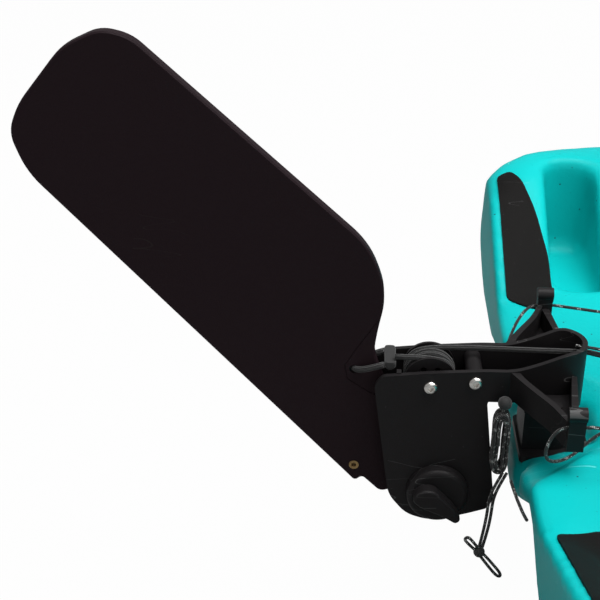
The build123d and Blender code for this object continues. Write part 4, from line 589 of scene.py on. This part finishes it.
finishes["stainless"] = metal("stainless_steel", (0.60, 0.58, 0.55), 0.16, 0.12, 1500.0, 0.00002)
finishes["brass_insert"] = metal("dull_brass", (0.30, 0.20, 0.09), 0.38, 0.2, 1500.0, 0.00004)
finishes["aluminium_bare"] = metal("satin_tube", (0.56, 0.57, 0.59), 0.32, 0.12, 900.0, 0.00003)
finishes["aluminium_black"] = metal("black_anodised", (0.03, 0.03, 0.033), 0.34, 0.12, 900.0, 0.00003)
print("metals done")

# %% [markdown]
# The thin line is black with white flecks, and the thick cord is plain black with a ribbed sleeve. Both use the
# braid group with their own pitch and girth, and the flecks come from the yarn value that the group puts out.
# The same value makes both cords darker in the low spots between the strands and lighter on the crests, which is
# painted shade.

# %% Cords and cloth
def cord_finish(name, diameter, pitch, depth, flecks):
    finish, tree, shader = new_finish(name, (0.012, 0.012, 0.012), 0.75, Specular_IOR_Level=0.25, Sheen_Weight=0.15)
    braid = use_group(tree, braid_group, Pitch=pitch, Round=math.pi * diameter, Depth=depth)
    # Painted shade: the braid height sets the colour, darker between the strands and lighter on the crests.
    painted_braid_shade = add(tree, "MapRange", inputs={"From Min": -1.0, "From Max": 1.0, "To Min": 0.006, "To Max": 0.028})
    painted_shade_grey = add(tree, "CombineColor")
    join(tree, (braid.outputs["Yarn"], painted_braid_shade.inputs["Value"]), *[(painted_braid_shade.outputs[0], painted_shade_grey.inputs[k]) for k in range(3)])
    colour = painted_shade_grey.outputs[0]
    if flecks:
        flat = add(tree, "UVMap", uv_map="cord")
        patch = add(tree, "TexNoise", inputs={"Scale": 260.0, "Detail": 1.0})
        where = add(tree, "Math", operation="GREATER_THAN", inputs={1: 0.575})
        high = add(tree, "Math", operation="GREATER_THAN", inputs={1: 0.1})
        mask = add(tree, "Math", operation="MULTIPLY")
        join(tree, (flat.outputs["UV"], patch.inputs["Vector"]), (patch.outputs["Fac"], where.inputs[0]),
             (braid.outputs["Yarn"], high.inputs[0]), (where.outputs[0], mask.inputs[0]),
             (high.outputs[0], mask.inputs[1]))
        colour = mix_colour(tree, mask.outputs[0], colour, (0.55, 0.56, 0.54))
    join(tree, (colour, shader.inputs["Base Color"]), (braid.outputs["Normal"], shader.inputs["Normal"]))
    return finish


finishes["line_black"] = cord_finish("flecked_line", LINE, 0.0024, 0.00035, True)
finishes["cord_black"] = cord_finish("ribbed_cord", LIFT_CORD, 0.0018, 0.0007, False)


def sling_finish():
    finish, tree, shader = new_finish("sling_mesh", (0.03, 0.032, 0.035), 0.7, Sheen_Weight=0.1)
    weave = use_group(tree, weave_group, Threads=380.0, Depth=0.0006)
    # Painted shade: the weave's low spots are coloured near black, for the dark seen through the holes.
    colour = mix_colour(tree, weave.outputs["Painted Hole Shade"], (0.045, 0.047, 0.05), (0.004, 0.004, 0.004))
    join(tree, (colour, shader.inputs["Base Color"]), (weave.outputs["Normal"], shader.inputs["Normal"]))
    return finish


finishes["seat_mesh"] = sling_finish()
print("finishes:", sorted(finishes))

# %% [markdown]
# Every piece of the solid model now takes the finish of its material slot.

# %% Dress the solid model
for part in frame["record"]["subparts"]:
    piece = nodes[part["node"]]
    for holder in piece.material_slots:
        holder.material = finishes[part["material_slot"]]


def dress(piece, slot):
    piece.data.materials.clear()
    piece.data.materials.append(finishes[slot])


for piece in [steering_port, steering_starboard, lift_line, hank] + tail_pieces:
    dress(piece, "line_black")
for piece in (lift_front, lift_cord, blade_loop):
    dress(piece, "cord_black")
print("dressed", len(nodes), "solid pieces and", 8 + len(tail_pieces) - 1, "cords")

# %% [markdown]
# Rotational moulding leaves no sharp edge anywhere: hot powder melts against the mould, so every corner of the
# skin is soft. The solid hull has crisp edges where its recesses are cut. A copy of its outer skin is remeshed
# into even cells of a few millimetres and relaxed a little, which rounds each edge by about a centimetre and
# leaves broad faces where they were. The inner skin can't be seen and is left out of the copy.

# %% Soft-edged hull skin
CELL = 0.0065
RELAX_STEPS = 7
RAY_START = 0.0005
RAY_COUNT = 20
SMALL_PATCH = 1.0


def open_sky(count):
    """Directions spread over the half sphere above a face."""
    rays = []
    for i in range(count):
        rise = (i + 0.5) / count
        flat = math.sqrt(1 - rise * rise)
        rays.append(Vector((flat * math.cos(2.4 * i), flat * math.sin(2.4 * i), rise)))
    return rays[::-1]


def faces_that_see_out(mesh):
    """Whether any ray from each face leaves the hull without meeting it. Small odd patches follow the rest."""
    tree = BVHTree.FromBMesh(mesh)
    rays = open_sky(RAY_COUNT)
    seen = {}
    for face in mesh.faces:
        start = face.calc_center_median() + face.normal * RAY_START
        turn = face.normal.to_track_quat("Z", "Y")
        seen[face] = any(tree.ray_cast(start, turn @ ray)[0] is None for ray in rays)
    settled = dict(seen)
    left = set(mesh.faces)
    while left:
        first = left.pop()
        patch, todo = [first], [first]
        while todo:
            for other in {f for edge in todo.pop().edges for f in edge.link_faces} & left:
                if seen[other] == seen[first]:
                    left.discard(other)
                    patch.append(other)
                    todo.append(other)
        if sum(face.calc_area() for face in patch) < SMALL_PATCH:
            settled.update((face, not seen[first]) for face in patch)
    return settled


def outer_skin(source):
    """A closed copy of the outside of a hollow mesh, without its inner skin."""
    mesh = bmesh.new()
    mesh.from_mesh(source.data)
    bmesh.ops.remove_doubles(mesh, verts=mesh.verts, dist=1e-5)
    seen = faces_that_see_out(mesh)
    bmesh.ops.delete(mesh, geom=[f for f in mesh.faces if not seen[f]], context="FACES")
    rims = [edge for edge in mesh.edges if edge.is_boundary]
    bmesh.ops.holes_fill(mesh, edges=rims, sides=0)
    still_open = sum(edge.is_boundary for edge in mesh.edges)
    print("outer skin:", len(mesh.faces), "faces,", len(rims), "rim edges closed,", still_open, "open")
    data = bpy.data.meshes.new("hull_skin")
    mesh.to_mesh(data)
    mesh.free()
    skin = bpy.data.objects.new("hull_skin", data)
    bpy.context.scene.collection.objects.link(skin)
    return skin


def bake_modifiers(piece):
    """Puts the result of a piece's modifiers into its mesh."""
    graph = bpy.context.evaluated_depsgraph_get()
    result = bpy.data.meshes.new_from_object(piece.evaluated_get(graph))
    piece.modifiers.clear()
    piece.data = result
    return piece


hull_skin = outer_skin(nodes["hull"])
remesh = hull_skin.modifiers.new("remesh", "REMESH")
remesh.mode = "VOXEL"
remesh.voxel_size = CELL
remesh.use_smooth_shade = True
relax = hull_skin.modifiers.new("relax", "SMOOTH")
relax.factor = 0.5
relax.iterations = RELAX_STEPS
bake_modifiers(hull_skin)
dress(hull_skin, "hull_teal")
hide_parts("hull")
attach(hull_skin, "hull")
print("hull skin:", len(hull_skin.data.polygons), "faces")

# %% [markdown]
# The seat is a sling: a sheet of woven mesh stretched between the tubes of its frame. Stretched cloth still
# gives a little, so its middle hangs lower than its rim. Blender's cloth works that out from the weight of
# the sheet, with the rim pinned. A pinned vertex group holds the rim, and the result is put into the mesh.

# %% Seat slings
CLOTH_CELLS = 44
SLING_THICK = 0.0022
HINGE_AT = Vector((-0.439, 0, 0.239))
BACK_LEAN = math.radians(12.0)


def sling(name, width, length, corner, place):
    """A flat grid of cloth with rounded corners, a UV map in metres and a pinned rim. place bends it."""
    mesh = bmesh.new()
    uv = mesh.loops.layers.uv.new("cloth")
    grid = []
    for i in range(CLOTH_CELLS + 1):
        row = []
        for j in range(CLOTH_CELLS + 1):
            u, v = (i / CLOTH_CELLS - 0.5) * width, (j / CLOTH_CELLS - 0.5) * length
            over_u, over_v = abs(u) - (width / 2 - corner), abs(v) - (length / 2 - corner)
            if over_u > 0 and over_v > 0:
                away = math.hypot(over_u, over_v)
                most = max(over_u, over_v)
                u = math.copysign(width / 2 - corner + over_u * most / away, u)
                v = math.copysign(length / 2 - corner + over_v * most / away, v)
            row.append(mesh.verts.new(place(u, v)))
            row[-1].tag = i in (0, CLOTH_CELLS) or j in (0, CLOTH_CELLS)
        grid.append(row)
    for i in range(CLOTH_CELLS):
        for j in range(CLOTH_CELLS):
            corners = ((i, j), (i + 1, j), (i + 1, j + 1), (i, j + 1))
            face = mesh.faces.new([grid[a][b] for a, b in corners])
            face.smooth = True
            for loop, (a, b) in zip(face.loops, corners):
                loop[uv].uv = (a / CLOTH_CELLS * width, b / CLOTH_CELLS * length)
    rim = [k for k, vertex in enumerate(v for row in grid for v in row) if vertex.tag]
    data = bpy.data.meshes.new(name)
    mesh.to_mesh(data)
    mesh.free()
    piece = bpy.data.objects.new(name, data)
    bpy.context.scene.collection.objects.link(piece)
    piece.vertex_groups.new(name="rim").add(rim, 1.0, "REPLACE")
    return piece


def hang(piece, frames=18):
    """Lets the cloth sag on its pinned rim, then keeps that shape."""
    cloth = piece.modifiers.new("cloth", "CLOTH")
    cloth.settings.vertex_group_mass = "rim"
    cloth.settings.mass = 0.25
    cloth.settings.tension_stiffness = 60
    cloth.settings.compression_stiffness = 60
    cloth.settings.bending_stiffness = 0.6
    cloth.settings.quality = 6
    cloth.point_cache.frame_end = frames
    for frame_number in range(1, frames + 1):
        bpy.context.scene.frame_set(frame_number)
    bake_modifiers(piece)
    bpy.context.scene.frame_set(1)


def thicken(piece):
    solid = piece.modifiers.new("solid", "SOLIDIFY")
    solid.thickness = SLING_THICK
    solid.offset = 0.0
    bake_modifiers(piece)
    for polygon in piece.data.polygons:
        polygon.use_smooth = True


base_low, base_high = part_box("seat_base_mesh")
base_middle = [(a + b) / 2 for a, b in zip(base_low, base_high)]
base_length, base_width = base_high[0] - base_low[0], base_high[1] - base_low[1]


def base_place(u, v):
    return Vector((base_middle[0] + u, base_middle[1] + v, base_middle[2]))


def back_place(u, v):
    """The back's sling bows forward at the small of the back, like the tubes beside it."""
    height = 0.219 + v
    bow = 0.028 * max(0.0, 1 - abs(height - 0.21) / 0.14) ** 1.0
    ease = 0.028 * math.exp(-((height - 0.21) / 0.075) ** 2)
    x, z = min(bow, ease) * 0.9, height
    return HINGE_AT + Vector((x * math.cos(BACK_LEAN) - z * math.sin(BACK_LEAN), u,
                              x * math.sin(BACK_LEAN) + z * math.cos(BACK_LEAN)))


BACK_WIDTH, BACK_LENGTH = 0.344, 0.340
slings = [("seat_sling", base_length, base_width, 0.047, base_place, "seat_base_mesh", "hull", (base_length, base_width)),
          ("back_sling", BACK_WIDTH, BACK_LENGTH, 0.040, back_place, "seat_back_mesh", "seat_back",
           (BACK_WIDTH, BACK_LENGTH))]
for name, wide, long, corner, place, node, body, flat in slings:
    piece = sling(name, wide, long, corner, place)
    hang(piece)
    thicken(piece)
    dress(piece, "seat_mesh")
    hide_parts(node)
    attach(piece, body)
    low = min(v.co.z for v in piece.data.vertices)
    print(name, "lowest point", round(low, 4))

# %% [markdown]
# The object stands on a plain floor, in even studio light. A lamp with a large face gives soft shadows, so the
# key light is a wide area lamp overhead, with a weaker one from the camera's side. The world is white to the
# camera and to reflections, and gives only a little light of its own. The floor is mostly white to the camera
# as well, and keeps a trace of the shadow.

# %% Floor and world
def white_world(fill, gloss):
    world = bpy.data.worlds.new("studio")
    bpy.context.scene.world = world
    world.use_nodes = True
    tree = world.node_tree
    tree.nodes.clear()
    path = add(tree, "LightPath")
    mirrored = add(tree, "Math", operation="MULTIPLY", inputs={1: gloss})
    seen = add(tree, "Math", operation="MAXIMUM")
    either = add(tree, "Math", operation="MAXIMUM")
    strength = add(tree, "MapRange", inputs={"To Min": fill, "To Max": 1.0})
    background = add(tree, "Background", inputs={"Color": (1, 1, 1, 1)})
    end = add(tree, "OutputWorld")
    join(tree, (path.outputs["Is Camera Ray"], seen.inputs[0]), (path.outputs["Is Glossy Ray"], mirrored.inputs[0]),
         (mirrored.outputs[0], seen.inputs[1]),
         (seen.outputs[0], either.inputs[0]), (path.outputs["Is Transmission Ray"], either.inputs[1]),
         (either.outputs[0], strength.inputs["Value"]), (strength.outputs[0], background.inputs["Strength"]),
         (background.outputs[0], end.inputs["Surface"]))


def studio_floor(share_of_white):
    """A wide floor at zero height: partly plain white to the camera, partly a diffuse surface."""
    data = bpy.data.meshes.new("floor")
    half = 14.0
    data.from_pydata([(-half, -half, 0), (half, -half, 0), (half, half, 0), (-half, half, 0)], [], [(0, 1, 2, 3)])
    floor = bpy.data.objects.new("floor", data)
    floor.location.z = -0.0006
    bpy.context.scene.collection.objects.link(floor)
    finish = bpy.data.materials.new("white_floor")
    finish.use_nodes = True
    tree = finish.node_tree
    tree.nodes.clear()
    path = add(tree, "LightPath")
    share = add(tree, "Math", operation="MULTIPLY", inputs={1: share_of_white})
    diffuse = add(tree, "BsdfDiffuse", inputs={"Color": (0.35, 0.35, 0.35, 1)})
    white = add(tree, "Emission", inputs={"Color": (1, 1, 1, 1), "Strength": 1.0})
    mix = add(tree, "MixShader")
    end = add(tree, "OutputMaterial")
    join(tree, (path.outputs["Is Camera Ray"], share.inputs[0]), (share.outputs[0], mix.inputs[0]),
         (diffuse.outputs[0], mix.inputs[1]), (white.outputs[0], mix.inputs[2]), (mix.outputs[0], end.inputs["Surface"]))
    data.materials.append(finish)


white_world(0.20, 0.3)
studio_floor(0.98)
print("floor and world ready")


# %% Lamps
def area_lamp(name, place, target, size, power):
    data = bpy.data.lights.new(name, "AREA")
    data.shape = "SQUARE"
    data.size = size
    data.energy = power
    lamp = bpy.data.objects.new(name, data)
    lamp.location = place
    lamp.rotation_euler = (Vector(target) - Vector(place)).to_track_quat("-Z", "Y").to_euler()
    bpy.context.scene.collection.objects.link(lamp)
    return lamp


STERN = (-1.65, 0.0, 0.25)
area_lamp("key_light", (-1.3, -0.1, 3.5), STERN, 2.2, 125)
area_lamp("bow_light", (1.0, -0.4, 3.8), (0.3, 0, 0.25), 3.4, 130)
area_lamp("side_light", (-0.6, -4.2, 2.2), (-0.6, 0, 0.2), 2.6, 40)
bpy.context.scene.view_settings.view_transform = "Standard"

# %% [markdown]

# %% End
print("scene ready")
